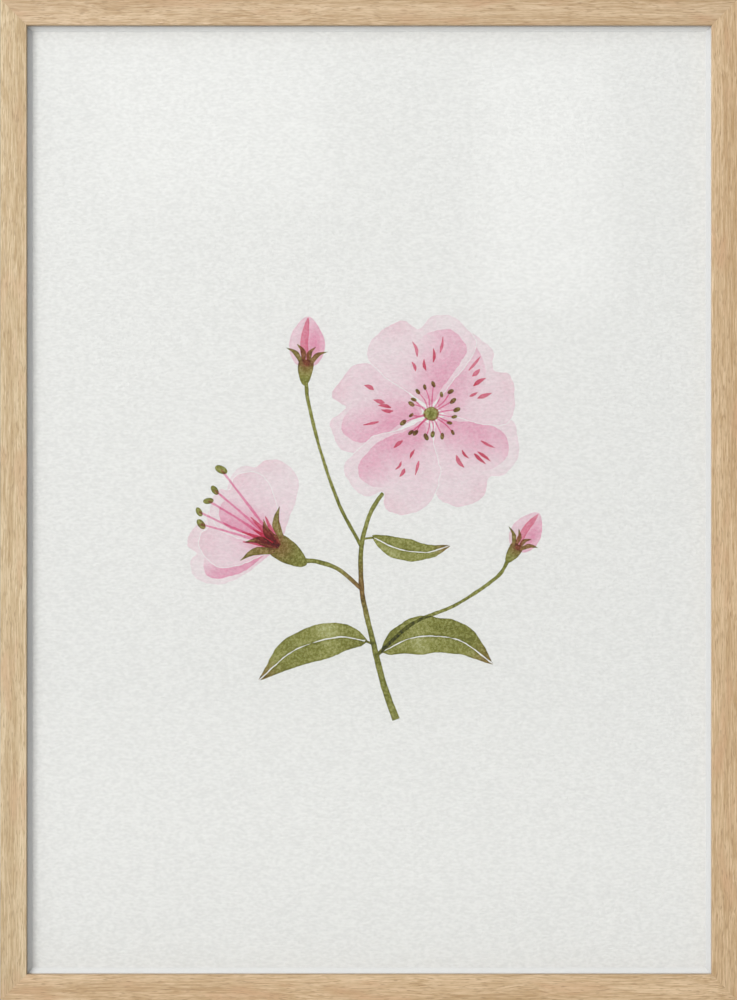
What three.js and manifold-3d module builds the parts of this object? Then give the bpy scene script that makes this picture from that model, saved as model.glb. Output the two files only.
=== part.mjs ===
// A framed art print for a wall: a rabbeted oak moulding mitred round a sheet of picture glass, a
// white bevelled slip, a paper print and a hardboard back. Bent steel points hold the back in, V nails hold
// the mitres, and a sawtooth hanger carries the frame while two rubber bumpers keep it off the wall.
//
// Millimetres. Seen from the front, +X is to the right and +Z is up; the picture faces -Y. The origin
// is on the wall, where the middle notch of the hanger rests on the wall's nail.

import * as THREE from 'three';
import { mergeVertices } from 'three/addons/utils/BufferGeometryUtils.js';
import Module from 'manifold-3d';

const wasm = await Module();
wasm.setup();

// Driving dimensions.
const FRAME_WIDTH = 545;
const FRAME_HEIGHT = 740;
const FRAME_DEPTH = 22;
const FACE_WIDTH = 19.5;       // the oak face, from the outer edge to the sight edge
const LIP_COVER = 6;           // how far the face reaches over the rabbet
const LIP_THICKNESS = 4.5;
const ARRIS = 0.6;             // radius of the oak's eased front edges
const MITRE_GAP = 0.05;        // half the glue line, taken off each mitred end
const SHEET_GAP = 0.1;         // between the layers behind the lip
const SEAT_GAP = 0.05;         // between small fittings and what they sit on
const RABBET_PLAY = 1;         // between the layers' edges and the rabbet wall
const GLAZING_THICKNESS = 2;
const SLIP_THICKNESS = 3;
const SLIP_REVEAL = 3.2;       // what shows of the slip past the oak
const SLIP_FOOT = 0.4;         // upright edge under the slip's bevel
const PAPER_THICKNESS = 0.4;
const BOARD_THICKNESS = 3;

// A V nail is one strip bent square; its bend sits on the mitre at each apex.
const V_NAIL = { leg: 4.6, thickness: 0.8, height: 8, sink: 0.4, play: 0.15 };
const V_NAIL_APEXES = { outer: 3.6, inner: 7.4 };

// A steel point bites into the rabbet wall, drops by its rise over the bend and reaches over the board.
const POINT = { width: 6, thickness: 0.5, taper: 1.6, play: 0.1 };
const POINT_LINE = { bite: 5, straight: 0.6, bend: 3.2, rise: 0.9, reach: 10 };
const POINTS_PER_SIDE = { bottom: 3, right: 4, top: 3, left: 4 };

// The hanger has a flat tab at each end, a ramp, and a raised middle with the teeth.
const HANGER = { length: 45, height: 9.6, thickness: 0.9, corner: 2, tab: 6.5, ramp: 2.5, raise: 1.2 };
const HANGER_HOLE = { radius: 1, inset: 3.2 };
const TEETH = { count: 11, pitch: 2.4, depth: 1.5 };
const HANGER_NAIL = { shank: 0.7, length: 9, point: 1.5, play: 0.15 };
const HANGER_NAIL_HEAD = { radius: 1.8, crown: 1.3, thickness: 0.7 };

// Radii at the bumper's base, shoulder and flat back, and how far they stand from its base.
const BUMPER = { base: 5, shoulder: 4.7, flat: 3.8, baseHeight: 1.2, shoulderHeight: 2.05, height: 2.4 };
const BUMPER_FROM_SIDE = 32;

// Facets: segments of a quarter round, and sides of small and larger turned pieces.
const CURVE_SEGMENTS = 5;
const SMALL_SIDES = 16;
const LARGE_SIDES = 24;

// Worked out from them. On a rail, u is measured inward from the outer edge and d back from the front.
const WALL_WIDTH = FACE_WIDTH - LIP_COVER;
const WALL_MIDDLE = WALL_WIDTH / 2;
const GLAZING_D = LIP_THICKNESS + SHEET_GAP;
const SLIP_D = GLAZING_D + GLAZING_THICKNESS + SHEET_GAP;
const PAPER_D = SLIP_D + SLIP_THICKNESS + SHEET_GAP;
const BOARD_D = PAPER_D + PAPER_THICKNESS + SHEET_GAP;
const BOARD_BACK_D = BOARD_D + BOARD_THICKNESS;
const FITTING_D = FRAME_DEPTH + SEAT_GAP;
const SHEET_EDGE_U = WALL_WIDTH + RABBET_PLAY;
const HANGER_BOTTOM_U = WALL_MIDDLE + HANGER.height / 2;
const NOTCH_U = HANGER_BOTTOM_U - TEETH.depth;
const WALL_D = FITTING_D + BUMPER.height;
const CENTRE_Z = NOTCH_U - FRAME_HEIGHT / 2;

const FINISHES = {
  oak: { color: 0xd0b794, roughness: 0.6, metalness: 0 },
  glass: { color: 0xf4f7f6, roughness: 0.05, metalness: 0, transparent: true, opacity: 0.2 },
  whiteSlip: { color: 0xf0f0ed, roughness: 0.6, metalness: 0 },
  paper: { color: 0xe9eae5, roughness: 0.9, metalness: 0 },
  hardboard: { color: 0x7a5a3c, roughness: 0.8, metalness: 0 },
  bluedSteel: { color: 0x33353a, roughness: 0.45, metalness: 1 },
  zincSteel: { color: 0xadb0b2, roughness: 0.4, metalness: 1 },
  rubber: { color: 0xb9b7b0, roughness: 0.7, metalness: 0 },
};

// A rail's own axes: x along it, y is d and z is u. Each side's turn brings the rail into its place.
const SIDES = {
  bottom: { length: FRAME_WIDTH, turn: 0, x: 0, z: -FRAME_HEIGHT / 2 },
  right: { length: FRAME_HEIGHT, turn: -Math.PI / 2, x: FRAME_WIDTH / 2, z: 0 },
  top: { length: FRAME_WIDTH, turn: Math.PI, x: 0, z: FRAME_HEIGHT / 2 },
  left: { length: FRAME_HEIGHT, turn: Math.PI / 2, x: -FRAME_WIDTH / 2, z: 0 },
};

// A corner's own axes start at its outer point, and its mitre runs along x = z.
const CORNERS = {
  bottom_left: { turn: 0, x: -FRAME_WIDTH / 2, z: -FRAME_HEIGHT / 2 },
  bottom_right: { turn: -Math.PI / 2, x: FRAME_WIDTH / 2, z: -FRAME_HEIGHT / 2 },
  top_right: { turn: Math.PI, x: FRAME_WIDTH / 2, z: FRAME_HEIGHT / 2 },
  top_left: { turn: Math.PI / 2, x: -FRAME_WIDTH / 2, z: FRAME_HEIGHT / 2 },
};

const framedPrint = new THREE.Group();
framedPrint.position.set(0, -WALL_D, CENTRE_Z);

function groupAt({ turn, x, z }) {
  const group = new THREE.Group();
  group.rotation.y = turn;
  group.position.set(x, 0, z);
  framedPrint.add(group);
  return group;
}

function addMesh(parent, name, geometry, finish) {
  const mesh = new THREE.Mesh(geometry, new THREE.MeshStandardMaterial(FINISHES[finish]));
  mesh.name = name;
  parent.add(mesh);
}

// Joining and cutting.

function toSolid(geometry) {
  const bare = geometry.clone();
  bare.deleteAttribute('normal');
  bare.deleteAttribute('uv');
  const merged = mergeVertices(bare);
  return new wasm.Manifold(new wasm.Mesh({
    numProp: 3,
    vertProperties: new Float32Array(merged.attributes.position.array),
    triVerts: new Uint32Array(merged.index.array),
  }));
}

function toGeometry(solid) {
  const { vertProperties, triVerts } = solid.getMesh();
  const geometry = new THREE.BufferGeometry();
  geometry.setAttribute('position', new THREE.BufferAttribute(vertProperties, 3));
  geometry.setIndex(new THREE.BufferAttribute(triVerts, 1));
  geometry.computeVertexNormals();
  return geometry;
}

function cut(geometry, cutters) {
  return toGeometry(cutters.reduce((solid, cutter) => solid.subtract(toSolid(cutter)), toSolid(geometry)));
}

function common(first, second) {
  return toGeometry(toSolid(first).intersect(toSolid(second)));
}

// Stock shapes.

function extrusion(depth) {
  return { depth, bevelEnabled: false, curveSegments: CURVE_SEGMENTS };
}

function polygon(points) {
  return new THREE.Shape(points.map(([x, y]) => new THREE.Vector2(x, y)));
}

// A bar centred on x = 0, from a section whose points are (d, u).
function bar(section, length) {
  const geometry = new THREE.ExtrudeGeometry(section, extrusion(length));
  geometry.translate(0, 0, -length / 2);
  const dAxis = new THREE.Vector3(0, 1, 0);
  const uAxis = new THREE.Vector3(0, 0, 1);
  const lengthAxis = new THREE.Vector3(1, 0, 0);
  return geometry.applyMatrix4(new THREE.Matrix4().makeBasis(dAxis, uAxis, lengthAxis));
}

// The same bar with both ends mitred: each point of the section steps in by its own u.
function mitredBar(section, length) {
  const geometry = bar(section, length);
  const position = geometry.attributes.position;
  for (let i = 0; i < position.count; i += 1) {
    const x = position.getX(i);
    position.setX(i, x - Math.sign(x) * (position.getZ(i) + MITRE_GAP));
  }
  geometry.computeVertexNormals();
  return geometry;
}

// A plate from a shape in x and z, filling the depths from d to d + thickness.
function plate(shape, d, thickness) {
  const geometry = new THREE.ExtrudeGeometry(shape, extrusion(thickness));
  geometry.rotateX(Math.PI / 2);
  return geometry.translate(0, d + thickness, 0);
}

// A turned piece round the y axis from a profile whose points are (radius, d), front to back.
function turned(profile, sides) {
  return new THREE.LatheGeometry(profile.map(([r, d]) => new THREE.Vector2(r, d)), sides);
}

// Oak rails.

function railSection() {
  const section = new THREE.Shape();
  section.moveTo(FRAME_DEPTH, 0);
  section.lineTo(FRAME_DEPTH, WALL_WIDTH);
  section.lineTo(LIP_THICKNESS, WALL_WIDTH);
  section.lineTo(LIP_THICKNESS, FACE_WIDTH);
  section.lineTo(ARRIS, FACE_WIDTH);
  section.absarc(ARRIS, FACE_WIDTH - ARRIS, ARRIS, Math.PI / 2, Math.PI);
  section.lineTo(0, ARRIS);
  section.absarc(ARRIS, ARRIS, ARRIS, Math.PI, Math.PI * 1.5);
  return section;
}

function pointPlaces(side) {
  const count = POINTS_PER_SIDE[side];
  const clear = SIDES[side].length - 2 * WALL_WIDTH;
  return Array.from({ length: count }, (_, i) => ((i + 0.5) / count - 0.5) * clear);
}

function vNailCutters(length) {
  const top = FRAME_DEPTH - V_NAIL.height - V_NAIL.sink - V_NAIL.play;
  return Object.values(V_NAIL_APEXES).flatMap((apex) => [1, -1].map((hand) => {
    const cutter = plate(vNailShape(apex, V_NAIL.play, hand), top, FRAME_DEPTH);
    return cutter.translate((-hand * length) / 2, 0, 0);
  }));
}

function pointCutters(side) {
  const { width, thickness, play } = POINT;
  const depth = POINT_LINE.bite + play + WALL_WIDTH;
  const middleD = BOARD_BACK_D + POINT_LINE.rise + thickness / 2;
  const middleU = WALL_WIDTH - POINT_LINE.bite - play + depth / 2;
  return pointPlaces(side).map((x) => {
    const cutter = new THREE.BoxGeometry(width + 2 * play, thickness + 2 * play, depth);
    return cutter.translate(x, middleD, middleU);
  });
}

function hangerNailCutters() {
  const radius = HANGER_NAIL.shank + HANGER_NAIL.play;
  return hangerHolePlaces().map((x) => {
    const cutter = new THREE.CylinderGeometry(radius, radius, 2 * HANGER_NAIL.length, SMALL_SIDES);
    return cutter.translate(x, FRAME_DEPTH, WALL_MIDDLE);
  });
}

function addRails() {
  for (const [side, place] of Object.entries(SIDES)) {
    const cutters = [...vNailCutters(place.length), ...pointCutters(side)];
    if (side === 'top') cutters.push(...hangerNailCutters());
    addMesh(groupAt(place), `rail_${side}`, cut(mitredBar(railSection(), place.length), cutters), 'oak');
  }
}

// V nails across each mitre.

function vNailShape(apex, play = 0, hand = 1) {
  const near = apex - V_NAIL.thickness / 2 - play;
  const far = apex + V_NAIL.thickness / 2 + play;
  const end = apex + V_NAIL.leg + play;
  const outline = [[near, near], [end, near], [end, far], [far, far], [far, end], [near, end]];
  return polygon(outline.map(([x, z]) => [hand * x, z]));
}

function addVNails() {
  for (const [corner, place] of Object.entries(CORNERS)) {
    const group = groupAt(place);
    for (const [position, apex] of Object.entries(V_NAIL_APEXES)) {
      const nail = plate(vNailShape(apex), FRAME_DEPTH - V_NAIL.sink - V_NAIL.height, V_NAIL.height);
      addMesh(group, `v_nail_${corner}_${position}`, nail, 'bluedSteel');
    }
  }
}

// The layers behind the lip.

function sheet(d, thickness) {
  const width = FRAME_WIDTH - 2 * SHEET_EDGE_U;
  const height = FRAME_HEIGHT - 2 * SHEET_EDGE_U;
  return new THREE.BoxGeometry(width, thickness, height).translate(0, d + thickness / 2, 0);
}

function slipSection() {
  const back = SLIP_D + SLIP_THICKNESS;
  const sight = FACE_WIDTH + SLIP_REVEAL;
  return polygon([
    [back, SHEET_EDGE_U],
    [back, sight],
    [back - SLIP_FOOT, sight],
    [SLIP_D, FACE_WIDTH],
    [SLIP_D, SHEET_EDGE_U],
  ]);
}

function addLayers() {
  addMesh(framedPrint, 'glazing', sheet(GLAZING_D, GLAZING_THICKNESS), 'glass');
  for (const [side, place] of Object.entries(SIDES)) {
    addMesh(groupAt(place), `slip_${side}`, mitredBar(slipSection(), place.length), 'whiteSlip');
  }
  addMesh(framedPrint, 'print_sheet', sheet(PAPER_D, PAPER_THICKNESS), 'paper');
  addMesh(framedPrint, 'backing_board', sheet(BOARD_D, BOARD_THICKNESS), 'hardboard');
}

// Steel points: straight in the rail's slot, then bent down to lie on the back of the board.

function pointGeometry() {
  const { width, thickness, taper } = POINT;
  const { bite, straight, bend, rise, reach } = POINT_LINE;
  const line = [
    [BOARD_BACK_D + rise, WALL_WIDTH - bite],
    [BOARD_BACK_D + rise, WALL_WIDTH + straight],
    [BOARD_BACK_D + SEAT_GAP, WALL_WIDTH + straight + bend],
    [BOARD_BACK_D + SEAT_GAP, WALL_WIDTH + reach],
  ];
  const back = line.map(([d, u]) => [d + thickness, u]).reverse();
  const strip = bar(polygon([...line, ...back]), width);
  const half = width / 2;
  const tip = WALL_WIDTH + reach;
  const outline = polygon([
    [-half, 0],
    [half, 0],
    [half, tip - taper],
    [half - taper, tip],
    [taper - half, tip],
    [-half, tip - taper],
  ]);
  return common(strip, plate(outline, BOARD_D, FRAME_DEPTH));
}

function addPoints() {
  const geometry = pointGeometry();
  for (const [side, place] of Object.entries(SIDES)) {
    const group = groupAt(place);
    pointPlaces(side).forEach((x, i) => {
      addMesh(group, `point_${side}_${i + 1}`, geometry.clone().translate(x, 0, 0), 'bluedSteel');
    });
  }
}

// The sawtooth hanger and its nails, in the top rail's own axes: teeth point towards larger u.

function hangerHolePlaces() {
  const x = HANGER.length / 2 - HANGER_HOLE.inset;
  return [x, -x];
}

function hangerPlan() {
  const { length, height, corner } = HANGER;
  const half = length / 2;
  const top = WALL_MIDDLE - height / 2;
  const plan = new THREE.Shape();
  plan.moveTo(half - corner, top);
  plan.absarc(half - corner, top + corner, corner, -Math.PI / 2, 0);
  plan.lineTo(half, HANGER_BOTTOM_U - corner);
  plan.absarc(half - corner, HANGER_BOTTOM_U - corner, corner, 0, Math.PI / 2);
  for (let tooth = 0; tooth < TEETH.count; tooth += 1) {
    const start = (TEETH.count / 2 - tooth) * TEETH.pitch;
    plan.lineTo(start, HANGER_BOTTOM_U);
    plan.lineTo(start - TEETH.pitch / 2, NOTCH_U);
  }
  plan.lineTo((-TEETH.count / 2) * TEETH.pitch, HANGER_BOTTOM_U);
  plan.lineTo(corner - half, HANGER_BOTTOM_U);
  plan.absarc(corner - half, HANGER_BOTTOM_U - corner, corner, Math.PI / 2, Math.PI);
  plan.lineTo(-half, top + corner);
  plan.absarc(corner - half, top + corner, corner, Math.PI, Math.PI * 1.5);
  for (const x of hangerHolePlaces()) {
    plan.holes.push(new THREE.Path().absarc(x, WALL_MIDDLE, HANGER_HOLE.radius, 0, 2 * Math.PI));
  }
  return plan;
}

// Seen along z: flat tabs on the rail at both ends and a raised middle that clears the wall nail's head.
function hangerBend() {
  const { length, thickness, raise, tab, ramp } = HANGER;
  const half = length / 2;
  const front = [
    [-half, FITTING_D],
    [tab - half, FITTING_D],
    [tab + ramp - half, FITTING_D + raise],
    [half - tab - ramp, FITTING_D + raise],
    [half - tab, FITTING_D],
    [half, FITTING_D],
  ];
  const back = front.map(([x, d]) => [x, d + thickness]).reverse();
  return new THREE.ExtrudeGeometry(polygon([...front, ...back]), extrusion(WALL_WIDTH));
}

function hangerNail() {
  const { shank, length, point } = HANGER_NAIL;
  const { radius, crown, thickness } = HANGER_NAIL_HEAD;
  const seat = FITTING_D + HANGER.thickness + SEAT_GAP;
  const tip = seat - length;
  return turned([
    [0, tip],
    [shank, tip + point],
    [shank, seat],
    [radius, seat],
    [radius, seat + thickness / 2],
    [crown, seat + thickness],
    [0, seat + thickness],
  ], SMALL_SIDES);
}

function addHanger() {
  const group = groupAt(SIDES.top);
  const hanger = common(hangerBend(), plate(hangerPlan(), FRAME_DEPTH, FRAME_DEPTH));
  addMesh(group, 'sawtooth_hanger', hanger, 'zincSteel');
  const [left, right] = hangerHolePlaces();
  addMesh(group, 'hanger_nail_left', hangerNail().translate(left, 0, WALL_MIDDLE), 'zincSteel');
  addMesh(group, 'hanger_nail_right', hangerNail().translate(right, 0, WALL_MIDDLE), 'zincSteel');
}

// Rubber bumpers on the bottom rail's back.

function bumper() {
  return turned([
    [0, FITTING_D],
    [BUMPER.base, FITTING_D],
    [BUMPER.base, FITTING_D + BUMPER.baseHeight],
    [BUMPER.shoulder, FITTING_D + BUMPER.shoulderHeight],
    [BUMPER.flat, FITTING_D + BUMPER.height],
    [0, FITTING_D + BUMPER.height],
  ], LARGE_SIDES);
}

function addBumpers() {
  const group = groupAt(SIDES.bottom);
  const x = FRAME_WIDTH / 2 - BUMPER_FROM_SIDE;
  addMesh(group, 'bumper_left', bumper().translate(-x, 0, WALL_MIDDLE), 'rubber');
  addMesh(group, 'bumper_right', bumper().translate(x, 0, WALL_MIDDLE), 'rubber');
}

addRails();
addVNails();
addLayers();
addPoints();
addHanger();
addBumpers();

export default framedPrint;
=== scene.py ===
"""The looks of a framed print: oak moulding, picture glass, white slip, painted paper, back and fittings.

Lengths are metres in the object's own frame: +X is right seen from the front, +Z is up, the picture
faces -Y and the wall is the plane y = 0. The painting is laid out in sheet millimetres, measured right
and up from the middle of the sheet.
"""

import logging
import math
import random
from dataclasses import dataclass
from enum import Enum
from typing import Any, Callable, Iterable, Optional, Sequence, Union

import bmesh
import bpy
import numpy as np
from mathutils import Matrix, Vector, geometry, noise


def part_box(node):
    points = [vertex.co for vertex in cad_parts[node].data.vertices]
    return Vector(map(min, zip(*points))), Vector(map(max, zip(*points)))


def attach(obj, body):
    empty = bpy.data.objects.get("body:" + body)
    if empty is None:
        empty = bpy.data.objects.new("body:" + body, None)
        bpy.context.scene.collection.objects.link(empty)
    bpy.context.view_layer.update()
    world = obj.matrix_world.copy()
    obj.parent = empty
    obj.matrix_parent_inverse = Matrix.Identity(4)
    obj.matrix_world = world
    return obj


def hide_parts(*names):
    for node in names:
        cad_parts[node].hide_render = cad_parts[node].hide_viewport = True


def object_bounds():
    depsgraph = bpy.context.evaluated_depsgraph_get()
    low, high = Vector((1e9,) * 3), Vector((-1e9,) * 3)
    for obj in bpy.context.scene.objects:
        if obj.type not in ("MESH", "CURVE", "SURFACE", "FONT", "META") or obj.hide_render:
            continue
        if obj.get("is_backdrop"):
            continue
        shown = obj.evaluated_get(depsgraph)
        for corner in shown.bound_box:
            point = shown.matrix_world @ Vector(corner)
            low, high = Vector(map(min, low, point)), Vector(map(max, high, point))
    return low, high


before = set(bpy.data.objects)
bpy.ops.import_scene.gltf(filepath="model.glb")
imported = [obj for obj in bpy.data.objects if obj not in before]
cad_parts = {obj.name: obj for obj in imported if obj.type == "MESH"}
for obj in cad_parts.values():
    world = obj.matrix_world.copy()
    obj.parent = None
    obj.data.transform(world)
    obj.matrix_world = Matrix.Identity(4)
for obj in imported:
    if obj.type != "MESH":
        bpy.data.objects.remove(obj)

LOG = logging.getLogger("framed_print")
MM = 0.001
BODY = "root"
MAP_PIXELS = 1024

Material = bpy.types.Material
Mesh = bpy.types.Mesh
Socket = bpy.types.NodeSocket
Input = Union[Socket, float, Sequence[float]]
Inputs = dict[Union[str, int], Input]
Colour = tuple[float, float, float, float]
Extent = tuple[float, float, float]
Point = tuple[float, float]
Points2D = Sequence[Sequence[float]]
Solid = tuple[np.ndarray, list[list[int]]]


class Slot(Enum):
    """A material slot of the record."""

    OAK = "oak"
    PAPER = "print_paper"
    BLUED_STEEL = "blued_steel"
    ZINC = "zinc_steel"
    RUBBER = "bumper_rubber"


class Pigment(Enum):
    """A watercolour pigment, valued by its place in the stored density."""

    BLUSH = 0
    ROSE = 1
    OLIVE = 2


class Side(Enum):
    """A side of the frame, valued by the turn about Y that brings a level bottom rail to it."""

    BOTTOM = 0.0
    RIGHT = -math.pi / 2
    TOP = math.pi
    LEFT = math.pi / 2


# Shader building.


class NodeGraph:
    """Adds and joins the shader nodes of one new material."""

    def __init__(self, name: str) -> None:
        """Starts an empty node material.

        Args:
            name: The material's name.
        """
        self.material = bpy.data.materials.new(name)
        self.material.use_nodes = True
        self.tree = self.material.node_tree
        self.tree.nodes.clear()

    def node(self, kind: str, inputs: Optional[Inputs] = None, **settings: Any) -> bpy.types.Node:
        """Adds one node.

        Args:
            kind: The node's type name, without its ShaderNode prefix.
            inputs: Values or sockets for the node's inputs, by name or index.
            settings: Properties set on the node itself.

        Returns:
            The new node.
        """
        made = self.tree.nodes.new("ShaderNode" + kind)
        for key, value in settings.items():
            setattr(made, key, value)
        for key, value in (inputs or {}).items():
            self.feed(made.inputs[key], value)
        return made

    def feed(self, socket: Socket, value: Input) -> None:
        """Links a socket to an input, or sets the input's value.

        Args:
            socket: The input.
            value: Another node's output to link to it, or its value.
        """
        if isinstance(value, Socket):
            self.tree.links.new(value, socket)
        else:
            socket.default_value = value

    def math(self, operation: str, *values: Input) -> Socket:
        """Combines numbers with a Math node and returns the result's socket."""
        return self.node("Math", dict(enumerate(values)), operation=operation).outputs[0]

    def vector(self, operation: str, first: Input, second: Input) -> Socket:
        """Combines two vectors with a Vector Math node and returns the vector socket."""
        return self.node("VectorMath", {0: first, 1: second}, operation=operation).outputs["Vector"]

    def scaled(self, vector: Input, factor: Input) -> Socket:
        """Returns a vector multiplied by one number."""
        return self.node("VectorMath", {0: vector, "Scale": factor}, operation="SCALE").outputs["Vector"]

    def remap(
        self, value: Input, low: float, high: float, to_low: float = 0.0, to_high: float = 1.0
    ) -> Socket:
        """Returns a number eased from one range into another and held at its ends."""
        inputs = {"Value": value, "From Min": low, "From Max": high, "To Min": to_low, "To Max": to_high}
        return self.node("MapRange", inputs, interpolation_type="SMOOTHSTEP").outputs["Result"]

    def noise(self, position: Input, size: Extent, detail: float = 2.0, roughness: float = 0.5) -> Socket:
        """Returns smooth noise whose features have a size along each axis.

        Args:
            position: The place, as a vector.
            size: Feature sizes along the vector's axes, in its own unit.
            detail: Octaves of finer noise.
            roughness: How strong the finer octaves are.

        Returns:
            A socket from 0 to 1 that is 0.5 on average.
        """
        place = self.vector("MULTIPLY", position, tuple(1.0 / s for s in size))
        inputs = {"Vector": place, "Scale": 1.0, "Detail": detail, "Roughness": roughness}
        return self.node("TexNoise", inputs, noise_dimensions="3D").outputs["Fac"]

    def mix(self, factor: Input, first: Input, second: Input) -> Socket:
        """Blends two colours.

        Args:
            factor: The share of the second colour, from 0 to 1.
            first: The first colour.
            second: The second colour.

        Returns:
            The blended colour's socket.
        """
        made = self.node("Mix", data_type="RGBA")
        for index, value in ((0, factor), (6, first), (7, second)):
            self.feed(made.inputs[index], value)
        return made.outputs[2]

    def attribute(self, name: str) -> Socket:
        """Returns a stored attribute's vector."""
        return self.node("Attribute", attribute_name=name).outputs["Vector"]

    def object_mm(self) -> Socket:
        """Returns the place on the object, in millimetres."""
        return self.scaled(self.node("TexCoord").outputs["Object"], 1.0 / MM)

    def bump(self, height: Input, distance: float, strength: float) -> Socket:
        """Returns a normal raised by a height, where height 1 stands out by the distance in metres."""
        inputs = {"Height": height, "Distance": distance, "Strength": strength}
        return self.node("Bump", inputs).outputs["Normal"]

    def surface(self, inputs: Inputs) -> Material:
        """Ends the material with a Principled shader of some inputs and returns the material."""
        return self.output(self.node("BsdfPrincipled", inputs).outputs[0])

    def output(self, shader: Socket) -> Material:
        """Ends the material with any shader and returns the material."""
        self.node("OutputMaterial", {"Surface": shader})
        return self.material


# Finishes.


@dataclass(frozen=True)
class OakFinish:
    """Light oak under matt lacquer, with its grain along the stored grain direction.

    Each extent says how long, wide and deep one feature of the wood is, in millimetres.
    """

    pale: Colour = (0.66, 0.515, 0.335, 1.0)
    deep: Colour = (0.42, 0.285, 0.145, 1.0)
    pore: Colour = (0.27, 0.17, 0.08, 1.0)
    flush: Colour = (0.53, 0.345, 0.20, 1.0)
    sway_extent: Extent = (70.0, 16.0, 16.0)
    ring_extent: Extent = (420.0, 4.2, 9.0)
    fibre_extent: Extent = (16.0, 0.8, 0.8)
    pore_extent: Extent = (6.5, 0.45, 0.45)
    patch_extent: Extent = (48.0, 13.0, 13.0)
    streak_extent: Extent = (38.0, 0.5, 0.5)
    sway_reach: Point = (5.0, 4.0)
    ring_share: float = 0.35
    fibre_share: float = 0.45
    streak_share: float = 0.5
    tone_range: Point = (0.48, 0.80)
    patch_range: Point = (0.52, 0.74)
    patch_strength: float = 0.7
    pore_range: Point = (0.56, 0.70)
    pore_strength: float = 0.6
    fibre_height: float = 0.6
    pore_height: float = -0.7
    relief: float = 0.05 * MM
    relief_strength: float = 0.8
    roughness: Point = (0.44, 0.58)

    def grain_place(self, graph: NodeGraph) -> Socket:
        """Finds the place in the wood, along a grain that sways a little.

        Args:
            graph: The material's nodes.

        Returns:
            The place in millimetres, as a vector.
        """
        place = graph.scaled(graph.attribute("grain"), 1.0 / MM)
        sway = graph.math("SUBTRACT", graph.noise(place, self.sway_extent, 1.0), 0.5)
        across, through = (graph.math("MULTIPLY", sway, reach) for reach in self.sway_reach)
        return graph.vector("ADD", place, graph.node("CombineXYZ", {1: across, 2: through}).outputs[0])

    def build(self) -> Material:
        """Makes the finish.

        Returns:
            The node material.
        """
        graph = NodeGraph("oak_matt_lacquer")
        place = self.grain_place(graph)
        rings = graph.noise(place, self.ring_extent, 2.0, 0.55)
        fibre = graph.noise(place, self.fibre_extent, 3.0, 0.62)
        pores = graph.remap(graph.noise(place, self.pore_extent, 1.0, 0.4), *self.pore_range)
        patches = graph.noise(place, self.patch_extent, 2.0)
        streaks = graph.noise(place, self.streak_extent, 2.0, 0.55)
        tone = graph.math("MULTIPLY", rings, self.ring_share)
        tone = graph.math("MULTIPLY_ADD", fibre, self.fibre_share, tone)
        tone = graph.math("MULTIPLY_ADD", streaks, self.streak_share, tone)
        colour = graph.mix(graph.remap(tone, *self.tone_range), self.pale, self.deep)
        flushed = graph.remap(patches, *self.patch_range, 0.0, self.patch_strength)
        colour = graph.mix(flushed, colour, self.flush)
        colour = graph.mix(graph.math("MULTIPLY", pores, self.pore_strength), colour, self.pore)
        # The stored 'board' vector is the tint of the rail's side.
        colour = graph.vector("MULTIPLY", colour, graph.attribute("board"))
        raised = graph.math("MULTIPLY", fibre, self.fibre_height)
        height = graph.math("MULTIPLY_ADD", pores, self.pore_height, raised)
        normal = graph.bump(height, self.relief, self.relief_strength)
        rough = graph.remap(fibre, 0.3, 0.7, *self.roughness)
        return graph.surface({"Base Color": colour, "Roughness": rough, "Normal": normal})


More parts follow.
